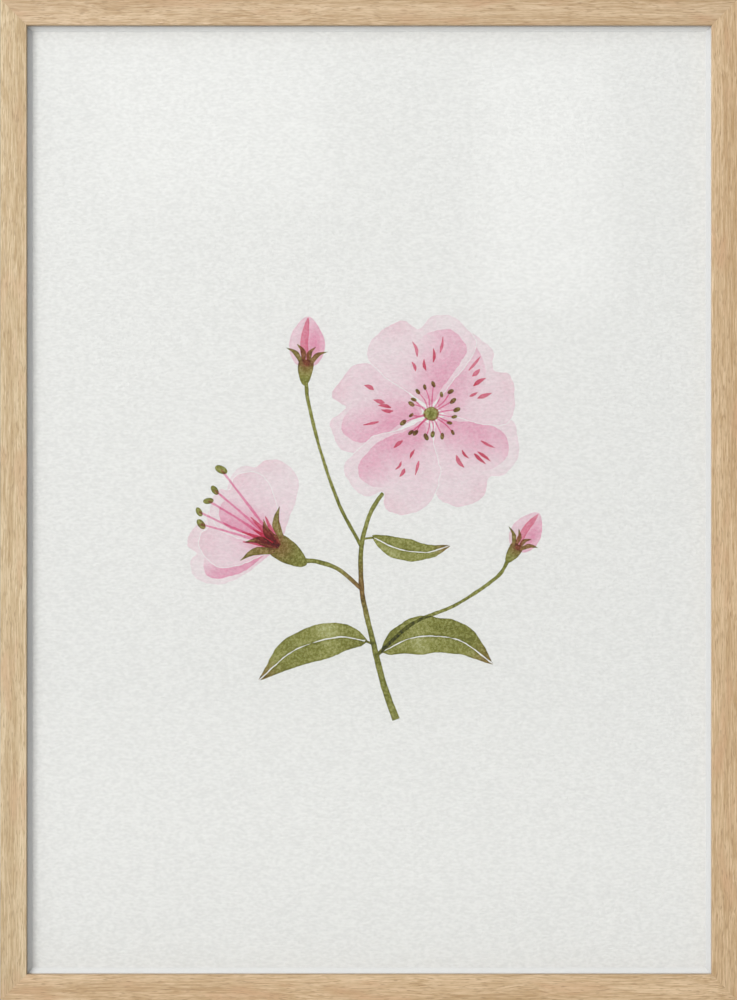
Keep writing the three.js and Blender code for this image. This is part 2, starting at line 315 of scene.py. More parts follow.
@dataclass(frozen=True)
class PaperFinish:
    """Cold-pressed white paper under transparent washes of pigment.

    Each pigment says how much red, green and blue it absorbs at density 1, and what share of it settles
    in the hollows of the paper's tooth.
    """

    white: Extent = (0.806, 0.793, 0.789)
    absorbs: tuple[Extent, ...] = ((0.10, 0.80, 0.50), (0.30, 1.80, 1.42), (1.60, 1.58, 3.50))
    grain_shares: Extent = (0.16, 0.14, 0.3)
    tooth_extent: Extent = (1.7, 1.7, 1.7)
    fine_extent: Extent = (0.55, 0.55, 0.55)
    mottle_extent: Extent = (3.4, 3.4, 1.6)
    mottle_range: Point = (0.935, 1.045)
    tooth_share: float = 0.65
    hollows: Point = (0.34, 0.66)
    relief: float = 0.8 * MM
    relief_strength: float = 0.9
    roughness: float = 0.92
    sheen: float = 0.2

    def tint(self, graph: NodeGraph, grain: Socket) -> Socket:
        """Colours the light that the washes let through.

        Args:
            graph: The material's nodes.
            grain: How much pigment settles at each place, from -1 to 1.

        Returns:
            The share of red, green and blue that passes, as a vector.
        """
        washes = graph.node("SeparateXYZ", {0: graph.attribute("pigment")})
        total = graph.node("CombineXYZ").outputs[0]
        for index, (absorbs, share) in enumerate(zip(self.absorbs, self.grain_shares)):
            settled = graph.math("MULTIPLY_ADD", grain, share, 1.0)
            amount = graph.math("MULTIPLY", washes.outputs[index], settled)
            total = graph.vector("ADD", total, graph.scaled(absorbs, amount))
        split = graph.node("SeparateXYZ", {0: total})
        passed = {i: graph.math("POWER", math.exp(-1.0), split.outputs[i]) for i in range(3)}
        return graph.node("CombineXYZ", passed).outputs[0]

    def build(self) -> Material:
        """Makes the finish.

        Returns:
            The node material.
        """
        graph = NodeGraph("painted_art_paper")
        place = graph.object_mm()
        tooth = graph.noise(place, self.tooth_extent, 1.0, 0.6)
        fine = graph.noise(place, self.fine_extent, 0.0)
        mottle = graph.noise(place, self.mottle_extent, 2.0, 0.6)
        relief = graph.math("MULTIPLY", tooth, self.tooth_share)
        relief = graph.math("MULTIPLY_ADD", fine, 1.0 - self.tooth_share, relief)
        grain = graph.remap(relief, *self.hollows, 1.0, -1.0)
        white = graph.scaled(self.white, graph.remap(mottle, 0.3, 0.7, *self.mottle_range))
        colour = graph.vector("MULTIPLY", white, self.tint(graph, grain))
        height = graph.math("MULTIPLY", graph.math("ADD", tooth, mottle), 0.5)
        return graph.surface({
            "Base Color": colour,
            "Roughness": self.roughness,
            "Specular IOR Level": self.sheen,
            "Normal": graph.bump(height, self.relief, self.relief_strength),
        })


@dataclass(frozen=True)
class PlainFinish:
    """One base colour, broken up by soft mottling and fine relief whose extents are in millimetres."""

    name: str
    colour: Colour
    other: Colour
    roughness: float
    metallic: float = 0.0
    mottle: Extent = (3.0, 3.0, 3.0)
    relief: Extent = (0.8, 0.8, 0.8)
    relief_height: float = 0.02 * MM
    relief_strength: float = 0.8
    roughness_spread: float = 0.08

    def build(self) -> Material:
        """Makes the finish.

        Returns:
            The node material.
        """
        graph = NodeGraph(self.name)
        place = graph.object_mm()
        mottle = graph.noise(place, self.mottle, 3.0, 0.55)
        relief = graph.noise(place, self.relief, 3.0, 0.55)
        colour = graph.mix(graph.remap(mottle, 0.32, 0.68), self.colour, self.other)
        spread = self.roughness_spread
        rough = graph.remap(relief, 0.3, 0.7, self.roughness - spread, self.roughness + spread)
        normal = graph.bump(relief, self.relief_height, self.relief_strength)
        return graph.surface(
            {"Base Color": colour, "Roughness": rough, "Metallic": self.metallic, "Normal": normal}
        )


@dataclass(frozen=True)
class GlassFinish:
    """Clear picture glass: the front mirrors a little for both its faces, and the rest goes through."""

    tint: Colour = (0.985, 0.992, 0.987, 1.0)
    mirror: Colour = (1.0, 1.0, 1.0, 1.0)
    roughness: float = 0.08
    ior: float = 1.5

    def build(self) -> Material:
        """Makes the finish.

        Returns:
            The node material.
        """
        graph = NodeGraph("picture_glass")
        through = graph.node("BsdfTransparent", {"Color": self.tint}).outputs[0]
        mirror = graph.node("BsdfGlossy", {"Color": self.mirror, "Roughness": self.roughness}).outputs[0]
        once = graph.node("Fresnel", {"IOR": self.ior}).outputs[0]
        both = graph.math("DIVIDE", graph.math("MULTIPLY", once, 2.0), graph.math("ADD", once, 1.0))
        entering = graph.math("SUBTRACT", 1.0, graph.node("NewGeometry").outputs["Backfacing"])
        share = graph.math("MULTIPLY", both, entering)
        return graph.output(graph.node("MixShader", {0: share, 1: through, 2: mirror}).outputs[0])


SLIP_PAINT = PlainFinish(
    "white_slip_paint",
    (0.84, 0.83, 0.835, 1.0),
    (0.82, 0.81, 0.815, 1.0),
    0.5,
    relief_height=0.01 * MM,
)
# Painted shade: the left and right slips take a greyer copy of the same white paint, so they look darker than
# the top and bottom slips under the same lamps.
UPRIGHT_SLIP_PAINTED_SHADE = PlainFinish(
    "white_slip_painted_shade_upright",
    (0.69, 0.685, 0.70, 1.0),
    (0.67, 0.665, 0.68, 1.0),
    0.5,
    relief_height=0.01 * MM,
)
HARDBOARD = PlainFinish(
    "brown_hardboard",
    (0.225, 0.127, 0.069, 1.0),
    (0.175, 0.094, 0.049, 1.0),
    0.62,
    mottle=(1.3, 1.3, 0.6),
    relief=(0.6, 0.6, 0.6),
    relief_height=0.06 * MM,
)
BLUED_STEEL = PlainFinish(
    "blued_spring_steel", (0.075, 0.08, 0.095, 1.0), (0.12, 0.115, 0.115, 1.0), 0.38, metallic=1.0
)
ZINC_PLATE = PlainFinish(
    "zinc_plate", (0.58, 0.59, 0.60, 1.0), (0.46, 0.47, 0.48, 1.0), 0.36, metallic=1.0, mottle=(1.6, 1.6, 1.6)
)
BUMPER_RUBBER = PlainFinish(
    "bumper_rubber", (0.42, 0.41, 0.385, 1.0), (0.36, 0.35, 0.33, 1.0), 0.62, relief_height=0.015 * MM
)
FLOOR_PAINT = PlainFinish(
    "pale_studio_floor",
    (0.74, 0.73, 0.71, 1.0),
    (0.71, 0.70, 0.68, 1.0),
    0.75,
    mottle=(260.0, 260.0, 260.0),
    relief=(9.0, 9.0, 9.0),
    relief_height=0.05 * MM,
)


# Shapes.


@dataclass(frozen=True)
class FrameSize:
    """The frame's sizes in millimetres: u runs inward from a rail's outer edge, d back from its front."""

    width: float = 545.0
    height: float = 740.0
    depth: float = 22.0
    face: float = 19.5
    wall: float = 13.5
    lip: float = 4.5
    paper_front: float = 9.8
    paper_thickness: float = 0.4
    sheet_edge: float = 14.5
    board_back: float = 13.3
    fitting: float = 22.05
    wall_plane: float = 24.45
    centre_z: float = -359.95

    def length(self, side: Side) -> float:
        """Returns the length of a side's rail along its outer edge."""
        return self.width if side in (Side.BOTTOM, Side.TOP) else self.height

    def centre(self) -> Matrix:
        """Returns the place of axes in millimetres at the frame's middle, on its front plane."""
        return Matrix.Scale(MM, 4) @ Matrix.Translation((0.0, -self.wall_plane, self.centre_z))

    def place(self, side: Side) -> Matrix:
        """Works out where a side's own axes lie: x along its rail, y is d and z is u, in millimetres.

        Args:
            side: The side.

        Returns:
            The place of its axes on the object.
        """
        half_width, half_height = self.width / 2, self.height / 2
        edges = {
            Side.BOTTOM: (0.0, -half_height),
            Side.RIGHT: (half_width, 0.0),
            Side.TOP: (0.0, half_height),
            Side.LEFT: (-half_width, 0.0),
        }
        x, z = edges[side]
        return self.centre() @ Matrix.Translation((x, 0.0, z)) @ Matrix.Rotation(side.value, 4, "Y")


SIZE = FrameSize()


def rounded(corners: Sequence[Extent], steps: int = 6) -> np.ndarray:
    """Rounds the corners of a polygon.

    Args:
        corners: The corners in order, each with the radius of its rounding.
        steps: Segments in each rounding.

    Returns:
        The points of the rounded polygon.
    """
    points: list[np.ndarray] = []
    for index, (x, y, radius) in enumerate(corners):
        corner = np.array((x, y))
        if radius <= 0.0:
            points.append(corner)
            continue
        back = np.array(corners[index - 1][:2]) - corner
        ahead = np.array(corners[(index + 1) % len(corners)][:2]) - corner
        back /= np.linalg.norm(back)
        ahead /= np.linalg.norm(ahead)
        half = math.acos(float(np.clip(back @ ahead, -1.0, 1.0))) / 2
        middle = (back + ahead) / np.linalg.norm(back + ahead)
        centre = corner + middle * radius / math.sin(half)
        start = corner + back * radius / math.tan(half) - centre
        end = corner + ahead * radius / math.tan(half) - centre
        turn = math.atan2(start[0] * end[1] - start[1] * end[0], float(start @ end))
        for step in range(steps + 1):
            angle = turn * step / steps
            cosine, sine = math.cos(angle), math.sin(angle)
            points.append(centre + (start[0] * cosine - start[1] * sine, start[0] * sine + start[1] * cosine))
    return np.array(points)


def spline(points: Points2D, step: float, closed: bool = False) -> np.ndarray:
    """Draws a smooth curve through points.

    Args:
        points: The points that the curve passes through.
        step: Spacing of the returned points.
        closed: Whether the curve closes on itself.

    Returns:
        Points along the curve, evenly spaced.
    """
    knots = np.array(points, dtype=float)
    if closed:
        knots = np.vstack([knots[-1:], knots, knots[:2]])
    else:
        knots = np.vstack([2 * knots[0] - knots[1], knots, 2 * knots[-1] - knots[-2]])
    parts = []
    share = np.linspace(0.0, 1.0, 24, endpoint=False)[:, None]
    for a, b, c, d in zip(knots, knots[1:], knots[2:], knots[3:]):
        bend = (2 * a - 5 * b + 4 * c - d) * share**2
        twist = (3 * b - a - 3 * c + d) * share**3
        parts.append((2 * b + (c - a) * share + bend + twist) / 2)
    parts.append(knots[-2:-1])
    line = np.vstack(parts)
    travelled = np.concatenate([[0.0], np.cumsum(np.linalg.norm(np.diff(line, axis=0), axis=1))])
    count = max(int(round(travelled[-1] / step)), 4)
    places = np.linspace(0.0, travelled[-1], count + 1)
    if closed:
        places = places[:-1]
    return np.stack([np.interp(places, travelled, line[:, axis]) for axis in (0, 1)], axis=1)


def normals_of(line: np.ndarray, closed: bool) -> np.ndarray:
    """Finds which way is left at each point of a line.

    Args:
        line: Points along the line.
        closed: Whether the line is a loop.

    Returns:
        The unit normals to the left.
    """
    if closed:
        along = np.roll(line, -1, axis=0) - np.roll(line, 1, axis=0)
    else:
        along = np.gradient(line, axis=0)
    along /= np.maximum(np.linalg.norm(along, axis=1, keepdims=True), 1e-9)
    return np.stack([-along[:, 1], along[:, 0]], axis=1)


def eased(share: np.ndarray) -> np.ndarray:
    """Returns shares from 0 to 1, held at their ends and eased into them."""
    held = np.clip(share, 0.0, 1.0)
    return held * held * (3.0 - 2.0 * held)


def mesh_from(name: str, vertices: np.ndarray, faces: Sequence[Sequence[int]]) -> Mesh:
    """Makes a mesh.

    Args:
        name: The mesh's name.
        vertices: Points, one a row.
        faces: Corner indices of each face.

    Returns:
        The mesh.
    """
    mesh = bpy.data.meshes.new(name)
    mesh.from_pydata([tuple(v) for v in vertices], [], [tuple(f) for f in faces])
    mesh.update()
    return mesh


def solid_of(name: str, vertices: np.ndarray, faces: Sequence[Sequence[int]]) -> Mesh:
    """Makes a closed mesh with its faces turned outward.

    Args:
        name: The mesh's name.
        vertices: Points, one a row.
        faces: Corner indices of each face.

    Returns:
        The mesh.
    """
    mesh = mesh_from(name, vertices, faces)
    work = bmesh.new()
    work.from_mesh(mesh)
    bmesh.ops.recalc_face_normals(work, faces=work.faces)
    work.to_mesh(mesh)
    work.free()
    return mesh


def block(low: Extent, high: Extent) -> Solid:
    """Makes an upright box.

    Args:
        low: Its lowest corner.
        high: Its highest corner.

    Returns:
        The points and faces of the box.
    """
    corners = [(x, y, z) for x in (low[0], high[0]) for y in (low[1], high[1]) for z in (low[2], high[2])]
    faces = [[0, 1, 3, 2], [4, 6, 7, 5], [0, 4, 5, 1], [2, 3, 7, 6], [0, 2, 6, 4], [1, 5, 7, 3]]
    return np.array(corners), faces


def turned(profile: np.ndarray, sides: int) -> Solid:
    """Turns a profile round the y axis.

    Args:
        profile: Points of (radius, depth) whose first and last lie on the axis.
        sides: Segments of a full turn.

    Returns:
        The points and faces of the closed shape.
    """
    angles = np.linspace(0.0, 2 * math.pi, sides, endpoint=False)
    circle = np.column_stack([np.cos(angles), np.zeros(sides), np.sin(angles)])
    rings = [radius * circle + (0.0, depth, 0.0) for radius, depth in profile[1:-1]]
    vertices = np.vstack([[(0.0, profile[0][1], 0.0)], *rings, [(0.0, profile[-1][1], 0.0)]])
    last = len(vertices) - 1
    faces: list[list[int]] = []
    for side in range(sides):
        ahead = (side + 1) % sides
        faces.append([0, 1 + side, 1 + ahead])
        for ring in range(len(rings) - 1):
            start = 1 + ring * sides
            faces.append([start + side, start + sides + side, start + sides + ahead, start + ahead])
        start = 1 + (len(rings) - 1) * sides
        faces.append([start + side, last, start + ahead])
    return vertices, faces


def pressed(
    outline: np.ndarray,
    holes: Sequence[np.ndarray],
    folds: Sequence[tuple[Point, Point]],
    depth_at: Callable[[np.ndarray], np.ndarray],
    thickness: float,
) -> Solid:
    """Presses a flat sheet-metal blank into shape.

    Args:
        outline: The blank's outline, as points of (x, u).
        holes: The outlines of its holes.
        folds: Lines across the blank that get edges of their own.
        depth_at: Gives the front's depth at each point of (x, u).
        thickness: The sheet's thickness along the depth.

    Returns:
        The points and faces of the closed shape.
    """
    loops = [outline, *holes]
    points = [Vector(p) for loop in loops for p in loop]
    starts = np.cumsum([0, *[len(loop) for loop in loops]])
    rings = [list(range(starts[i], starts[i + 1])) for i in range(len(loops))]
    edges = []
    for first, second in folds:
        edges.append((len(points), len(points) + 1))
        points += [Vector(first), Vector(second)]
    flat, _, cells, _, _, sources = geometry.delaunay_2d_cdt(points, edges, rings, 0, 1e-5)
    kept = [cell for cell, source in zip(cells, sources) if 0 in source and len(source) == 1]
    plan = np.array([tuple(p) for p in flat])
    front = depth_at(plan)
    count = len(plan)
    vertices = np.vstack([
        np.stack([plan[:, 0], front, plan[:, 1]], axis=1),
        np.stack([plan[:, 0], front + thickness, plan[:, 1]], axis=1),
    ])
    walks = {(a, b) for cell in kept for a, b in zip(cell, cell[1:] + cell[:1])}
    faces = [list(cell) for cell in kept]
    faces += [[i + count for i in reversed(cell)] for cell in kept]
    faces += [[b, a, a + count, b + count] for a, b in walks if (b, a) not in walks]
    used = sorted({i for face in faces for i in face})
    renumbered = {old: new for new, old in enumerate(used)}
    return vertices[used], [[renumbered[i] for i in face] for face in faces]


def joined(shapes: Iterable[Solid]) -> Solid:
    """Puts several shapes together as one.

    Args:
        shapes: The points and faces of each.

    Returns:
        The points and faces of all.
    """
    vertices: list[np.ndarray] = []
    faces: list[list[int]] = []
    count = 0
    for points, cells in shapes:
        vertices.append(points)
        faces += [[i + count for i in cell] for cell in cells]
        count += len(points)
    return np.vstack(vertices), faces


def carved(blank: Mesh, cutter: Mesh) -> Mesh:
    """Cuts one mesh out of another.

    Args:
        blank: The mesh to cut.
        cutter: What is taken out of it.

    Returns:
        A new mesh.
    """
    objects = [bpy.data.objects.new(mesh.name, mesh) for mesh in (blank, cutter)]
    for each in objects:
        bpy.context.scene.collection.objects.link(each)
    cut = objects[0].modifiers.new("cut", "BOOLEAN")
    cut.operation = "DIFFERENCE"
    cut.solver = "EXACT"
    cut.object = objects[1]
    graph = bpy.context.evaluated_depsgraph_get()
    result = bpy.data.meshes.new_from_object(objects[0].evaluated_get(graph))
    for each in objects:
        data = each.data
        bpy.data.objects.remove(each)
        bpy.data.meshes.remove(data)
    return result


# Pieces.


def add_piece(name: str, mesh: Mesh, finish: Material, node: str) -> bpy.types.Object:
    """Puts a mesh into the scene as a piece that stands for one of the construction's nodes.

    Args:
        name: The piece's name.
        mesh: Its mesh, in the object's frame.
        finish: Its material.
        node: The node that the piece stands for.

    Returns:
        The new object.
    """
    piece = bpy.data.objects.new(name, mesh)
    bpy.context.scene.collection.objects.link(piece)
    mesh.materials.clear()
    mesh.materials.append(finish)
    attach(piece, BODY)
    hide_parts(node)
    LOG.info("%s: %d faces", name, len(mesh.polygons))
    return piece


def dress_node(name: str, finish: Material, bevel: float) -> None:
    """Gives a construction node its finish and eases its edges.

    Args:
        name: The node.
        finish: Its material.
        bevel: Width of the rounding on its edges.
    """
    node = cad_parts[name]
    node.data.materials.clear()
    node.data.materials.append(finish)
    rounding = node.modifiers.new("eased_edges", "BEVEL")
    rounding.width = bevel
    rounding.segments = 2
    rounding.limit_method = "ANGLE"
    LOG.info("%s: dressed", name)


def soften(piece: bpy.types.Object, angle: float = 35.0) -> None:
    """Shades a piece smooth, but leaves its sharp edges crisp.

    Args:
        piece: The piece.
        angle: The least angle of a sharp edge, in degrees.
    """
    mesh = piece.data
    mesh.shade_smooth()
    mesh.set_sharp_from_angle(angle=math.radians(angle))
    weighting = piece.modifiers.new("even_shading", "WEIGHTED_NORMAL")
    weighting.keep_sharp = True


# The oak frame.


@dataclass
class OakFrame:
    """Four oak rails, mitred and slotted for the V nails, the steel points and the hanger's nails."""

    arris: float = 0.6
    back_edge: float = 0.4
    lip_edge: float = 0.2
    mitre_gap: float = 0.02
    overcut: float = 1.0
    apexes: Point = (3.6, 7.4)
    v_leg: float = 4.75
    v_half: float = 0.55
    v_top: float = 13.45
    point_slot: tuple[float, float, float, float] = (3.1, 14.1, 14.8, 8.4)
    nail_x: float = 19.3
    nail_hole: Point = (0.85, 13.0)
    strips: int = 3
    level: float = 0.1
    skin: float = 0.02
    steep: float = 0.6
    end_area: float = 100.0
    map_density: float = 3.7
    map_gap: float = 2.0
    map_first: float = 1.5
    map_ends: Extent = (2.0, 28.0, 255.6)
    map_cuts: Point = (70.0, 265.0)
    wood_step: Extent = (0.9, 0.071, 0.043)
    # Each side's rail is multiplied by a tint of its own: the bottom and right lighter and warmer, the left
    # lighter and cooler, the top darker.
    side_tints = {
        Side.BOTTOM: (1.06, 1.02, 1.0),
        Side.RIGHT: (1.05, 1.01, 0.985),
        Side.TOP: (0.966, 0.933, 0.932),
        Side.LEFT: (1.04, 1.07, 1.075),
    }

    def section(self) -> np.ndarray:
        """Returns the rail's section, as points of (d, u)."""
        return rounded([
            (SIZE.depth, 0.0, self.back_edge),
            (SIZE.depth, SIZE.wall, self.lip_edge),
            (SIZE.lip, SIZE.wall, 0.0),
            (SIZE.lip, SIZE.face, self.lip_edge),
            (0.0, SIZE.face, self.arris),
            (0.0, 0.0, self.arris),
        ])

    def blank(self, length: float) -> Mesh:
        """Sweeps the section along a rail and mitres its ends.

        Args:
            length: The rail's length.

        Returns:
            The rail without its slots and holes, in its own axes.
        """
        section = self.section()
        count = len(section)
        rings = []
        for cut in range(self.strips + 1):
            x = np.full(count, (cut / self.strips - 0.5) * length)
            if cut in (0, self.strips):
                x -= np.sign(x) * (section[:, 1] + self.mitre_gap)
            rings.append(np.column_stack([x, section]))
        faces = [list(range(count)), [i + self.strips * count for i in reversed(range(count))]]
        for ring in range(self.strips):
            for i in range(count):
                ahead = (i + 1) % count
                start = ring * count
                faces.append([start + i, start + count + i, start + count + ahead, start + ahead])
        return solid_of("rail", np.vstack(rings), faces)

    def cutter(self, side: Side) -> Mesh:
        """Gathers everything that is cut out of a rail.

        Args:
            side: The rail's side.

        Returns:
            The slots and holes as one mesh, in the rail's own axes.
        """
        half = SIZE.length(side) / 2
        past_back = SIZE.depth + self.overcut
        shapes = []
        for apex in self.apexes:
            for hand in (-1, 1):
                ends = sorted(hand * (half - reach) for reach in (apex - self.v_half, apex + self.v_leg))
                low = (ends[0], self.v_top, apex - self.v_half)
                shapes.append(block(low, (ends[1], past_back, apex + self.v_half)))
        width, near, far, bottom = self.point_slot
        past_lip = SIZE.face + 2 * self.overcut
        for x in GlaziersPoints.places(side):
            shapes.append(block((x - width, near, bottom), (x + width, far, past_lip)))
        if side is Side.TOP:
            radius, floor = self.nail_hole
            for x in (-self.nail_x, self.nail_x):
                profile = np.array([(0.0, floor), (radius, floor), (radius, past_back), (0.0, past_back)])
                vertices, faces = turned(profile, 24)
                shapes.append((vertices + (x, 0.0, SIZE.wall / 2), faces))
        return solid_of("rail_cutter", *joined(shapes))

    def unwrap(self, mesh: Mesh, length: float) -> None:
        """Lays the rail out for baking: its faces unrolled in strips, then the mitred ends and the cuts.

        Args:
            mesh: The rail, in its own axes.
            length: Its length.
        """
        unit = self.map_density / MAP_PIXELS
        section = self.section()
        ahead = np.roll(section, -1, axis=0)
        spans = np.linalg.norm(ahead - section, axis=1)
        starts = np.concatenate([[0.0], np.cumsum(spans)])
        around = starts[-1]
        directions = (ahead - section) / spans[:, None]
        layer = mesh.uv_layers.new(name="OFBake")
        for face in mesh.polygons:
            centre = np.array(face.center)
            offset = centre[1:] - section
            reach = np.clip((offset * directions).sum(axis=1), 0.0, spans)
            gaps = np.linalg.norm(offset - directions * reach[:, None], axis=1)
            span = int(np.argmin(gaps))
            slope = abs(face.normal.x)
            strip = min(int((centre[0] / length + 0.5) * self.strips), self.strips - 1)
            start = (strip / self.strips - 0.5) * length
            for loop in face.loop_indices:
                corner = np.array(mesh.vertices[mesh.loops[loop].vertex_index].co)
                if slope < self.level and gaps[span] < self.skin:
                    place = (corner[1:] - section[span]) @ directions[span] + starts[span]
                    u = corner[0] - start + self.map_gap
                    v = self.map_first + strip * (around + self.map_gap) + place
                elif slope > self.steep and face.area > self.end_area:
                    u = corner[1] + self.map_ends[int(centre[0] >= 0)]
                    v = corner[2] + self.map_ends[2]
                else:
                    flat = np.argsort(np.abs(np.array(face.normal)))[:2]
                    u, v = self.map_cuts + (corner - centre)[flat]
                layer.data[loop].uv = (u * unit, v * unit)

    def rail(self, side: Side, number: int) -> Mesh:
        """Makes one rail in its place.

        Args:
            side: The side that it stands on.
            number: Chooses the piece of wood that it is cut from.

        Returns:
            Its mesh, with the grain direction stored on it.
        """
        length = SIZE.length(side)
        mesh = carved(self.blank(length), self.cutter(side))
        self.unwrap(mesh, length)
        # The 'board' attribute stores the tint of the rail's side on every vertex.
        board = mesh.attributes.new("board", "FLOAT_VECTOR", "POINT")
        grain = mesh.attributes.new("grain", "FLOAT_VECTOR", "POINT")
        wood = Vector([step * number for step in self.wood_step])
        for vertex in mesh.vertices:
            grain.data[vertex.index].vector = vertex.co * MM + wood
            board.data[vertex.index].vector = self.side_tints[side]
        mesh.transform(SIZE.place(side))
        return mesh

    def build(self, finish: Material) -> None:
        """Adds the four rails.

        Args:
            finish: Their material.
        """
        for number, side in enumerate(Side, start=1):
            name = side.name.lower()
            add_piece(f"oak_rail_{name}", self.rail(side, number), finish, f"rail_{name}")


# The back.


@dataclass
class GlaziersPoints:
    """Bent steel points that bite into the rabbet wall and hold the board in."""

    counts = {Side.BOTTOM: 3, Side.RIGHT: 4, Side.TOP: 3, Side.LEFT: 4}
    half_width: float = 3.0
    thickness: float = 0.5
    taper: float = 1.6
    bite: float = 5.0
    reach: float = 10.0
    rise: float = 0.9
    bend: Point = (0.6, 3.8)
    bend_steps: int = 9
    seat: float = 0.05
    tip_radius: float = 0.5

    @classmethod
    def places(cls, side: Side) -> list[float]:
        """Spreads the points evenly along a rail.

        Args:
            side: The rail's side.

        Returns:
            Where each point stands along the rail.
        """
        count = cls.counts[side]
        clear = SIZE.length(side) - 2 * SIZE.wall
        return [((i + 0.5) / count - 0.5) * clear for i in range(count)]

    def depth_at(self, plan: np.ndarray) -> np.ndarray:
        """Bends a point's sheet in an S down to the board.

        Args:
            plan: Places of (x, u) on the sheet.

        Returns:
            The depth of the sheet's front at each place.
        """
        start, end = self.bend
        share = (plan[:, 1] - SIZE.wall - start) / (end - start)
        return SIZE.board_back + self.rise - (self.rise - self.seat) * eased(share)

    def shape(self) -> Solid:
        """Presses one point.

        Returns:
            Its points and faces, in the rail's axes at x = 0.
        """
        low, high = SIZE.wall - self.bite, SIZE.wall + self.reach
        half, taper, radius = self.half_width, self.taper, self.tip_radius
        corners = [
            (-half, low, 0.0),
            (half, low, 0.0),
            (half, high - taper, radius),
            (half - taper, high, radius),
            (taper - half, high, radius),
            (-half, high - taper, radius),
        ]
        start, end = self.bend
        past = half + 1.0
        bends = np.linspace(SIZE.wall + start, SIZE.wall + end, self.bend_steps)
        folds = [((-past, u), (past, u)) for u in bends]
        return pressed(rounded(corners, 4), [], folds, self.depth_at, self.thickness)

    def build(self, finish: Material) -> None:
        """Adds every point.

        Args:
            finish: Their material.
        """
        vertices, faces = self.shape()
        for side in Side:
            for number, x in enumerate(self.places(side), start=1):
                name = f"{side.name.lower()}_{number}"
                mesh = solid_of(f"glaziers_point_{name}", vertices + (x, 0.0, 0.0), faces)
                mesh.transform(SIZE.place(side))
                piece = add_piece(f"glaziers_point_{name}", mesh, finish, f"point_{name}")
                soften(piece)


@dataclass
class SawtoothHanger:
    """A pressed steel strip with teeth that hook on a wall nail, and the two nails that hold it."""

    half_length: float = 22.5
    half_height: float = 4.8
    corner: float = 2.0
    thickness: float = 0.9
    raise_by: float = 1.2
    ramp: Point = (13.5, 16.0)
    bend_steps: int = 7
    teeth: int = 11
    pitch: float = 2.4
    tooth: float = 1.5
    tooth_radius: float = 0.15
    hole_x: float = 19.3
    hole: float = 1.0
    shank: float = 0.7
    nail_length: float = 9.0
    nail_tip: float = 1.5
    head: float = 1.8
    head_height: float = 0.7
    head_gap: float = 0.05

    def plan(self) -> np.ndarray:
        """Draws the strip laid flat, with the teeth along its lower edge.

        Returns:
            The outline, as points of (x, u).
        """
        middle = SIZE.wall / 2
        top, bottom = middle - self.half_height, middle + self.half_height
        corners = [
            (-self.half_length, top, self.corner),
            (self.half_length, top, self.corner),
            (self.half_length, bottom, self.corner),
        ]
        radius = self.tooth_radius
        for tooth in range(self.teeth):
            start = (self.teeth / 2 - tooth) * self.pitch
            corners += [(start, bottom, radius), (start - self.pitch / 2, bottom - self.tooth, radius)]
        corners.append((-self.teeth / 2 * self.pitch, bottom, radius))
        corners.append((-self.half_length, bottom, self.corner))
        return rounded(corners, 5)

    def depth_at(self, plan: np.ndarray) -> np.ndarray:
        """Raises the strip's middle between its flat tabs.

        Args:
            plan: Places of (x, u) on the strip.

        Returns:
            The depth of the strip's front at each place.
        """
        inner, outer = self.ramp
        return SIZE.fitting + self.raise_by * eased((outer - np.abs(plan[:, 0])) / (outer - inner))

    def nail(self, x: float) -> Solid:
        """Turns one of the two nails.

        Args:
            x: Where it stands along the rail.

        Returns:
            Its points and faces, in the rail's axes.
        """
        seat = SIZE.fitting + self.thickness + self.head_gap
        top = seat + self.head_height
        neck = self.shank - 0.01
        cap = rounded([(neck, seat, 0.0), (self.head, seat, 0.12), (self.head, top, 0.5), (0.0, top, 0.0)], 5)
        end = seat - self.nail_length
        profile = np.vstack([[(0.0, end), (self.shank, end + self.nail_tip)], cap])
        vertices, faces = turned(profile, 32)
        return vertices + (x, 0.0, SIZE.wall / 2), faces

    def build(self, finish: Material) -> None:
        """Adds the hanger and its nails.

        Args:
            finish: Their material.
        """
        angles = np.linspace(0.0, 2 * math.pi, 32, endpoint=False)
        ring = self.hole * np.column_stack([np.cos(angles), np.sin(angles)])
        holes = [ring + (x, SIZE.wall / 2) for x in (-self.hole_x, self.hole_x)]
        inner, outer = self.ramp
        bends = np.linspace(inner, outer, self.bend_steps)
        folds = [((x, -1.0), (x, SIZE.wall + 1.0)) for x in (*-bends[::-1], *bends)]
        strip = pressed(self.plan(), holes, folds, self.depth_at, self.thickness)
        shapes = (
            ("hanger_strip", "sawtooth_hanger", strip),
            ("hanger_tack_left", "hanger_nail_left", self.nail(self.hole_x)),
            ("hanger_tack_right", "hanger_nail_right", self.nail(-self.hole_x)),
        )
        for name, node, shape in shapes:
            mesh = solid_of(name, *shape)
            mesh.transform(SIZE.place(Side.TOP))
            soften(add_piece(name, mesh, finish, node))


@dataclass
class Bumpers:
    """Two rubber bumpers on the back of the bottom rail."""

    from_side: float = 32.0
    profile: tuple[Extent, ...] = (
        (0.0, 0.0, 0.0),
        (5.0, 0.0, 0.15),
        (5.0, 1.2, 0.5),
        (4.65, 2.05, 0.6),
        (3.8, 2.4, 0.5),
        (3.0, 2.4, 0.3),
        (0.0, 2.25, 0.0),
    )

    def build(self, finish: Material) -> None:
        """Adds both bumpers.

        Args:
            finish: Their material.
        """
        corners = [(radius, SIZE.fitting + rise, rounding) for radius, rise, rounding in self.profile]
        vertices, faces = turned(rounded(corners), 48)
        for name, hand in (("left", -1), ("right", 1)):
            place = (hand * (SIZE.width / 2 - self.from_side), 0.0, SIZE.wall / 2)
            mesh = solid_of(f"rubber_bumper_{name}", vertices + place, faces)
            mesh.transform(SIZE.place(Side.BOTTOM))
            soften(add_piece(f"rubber_bumper_{name}", mesh, finish, f"bumper_{name}"), 50.0)


# The painted sheet.


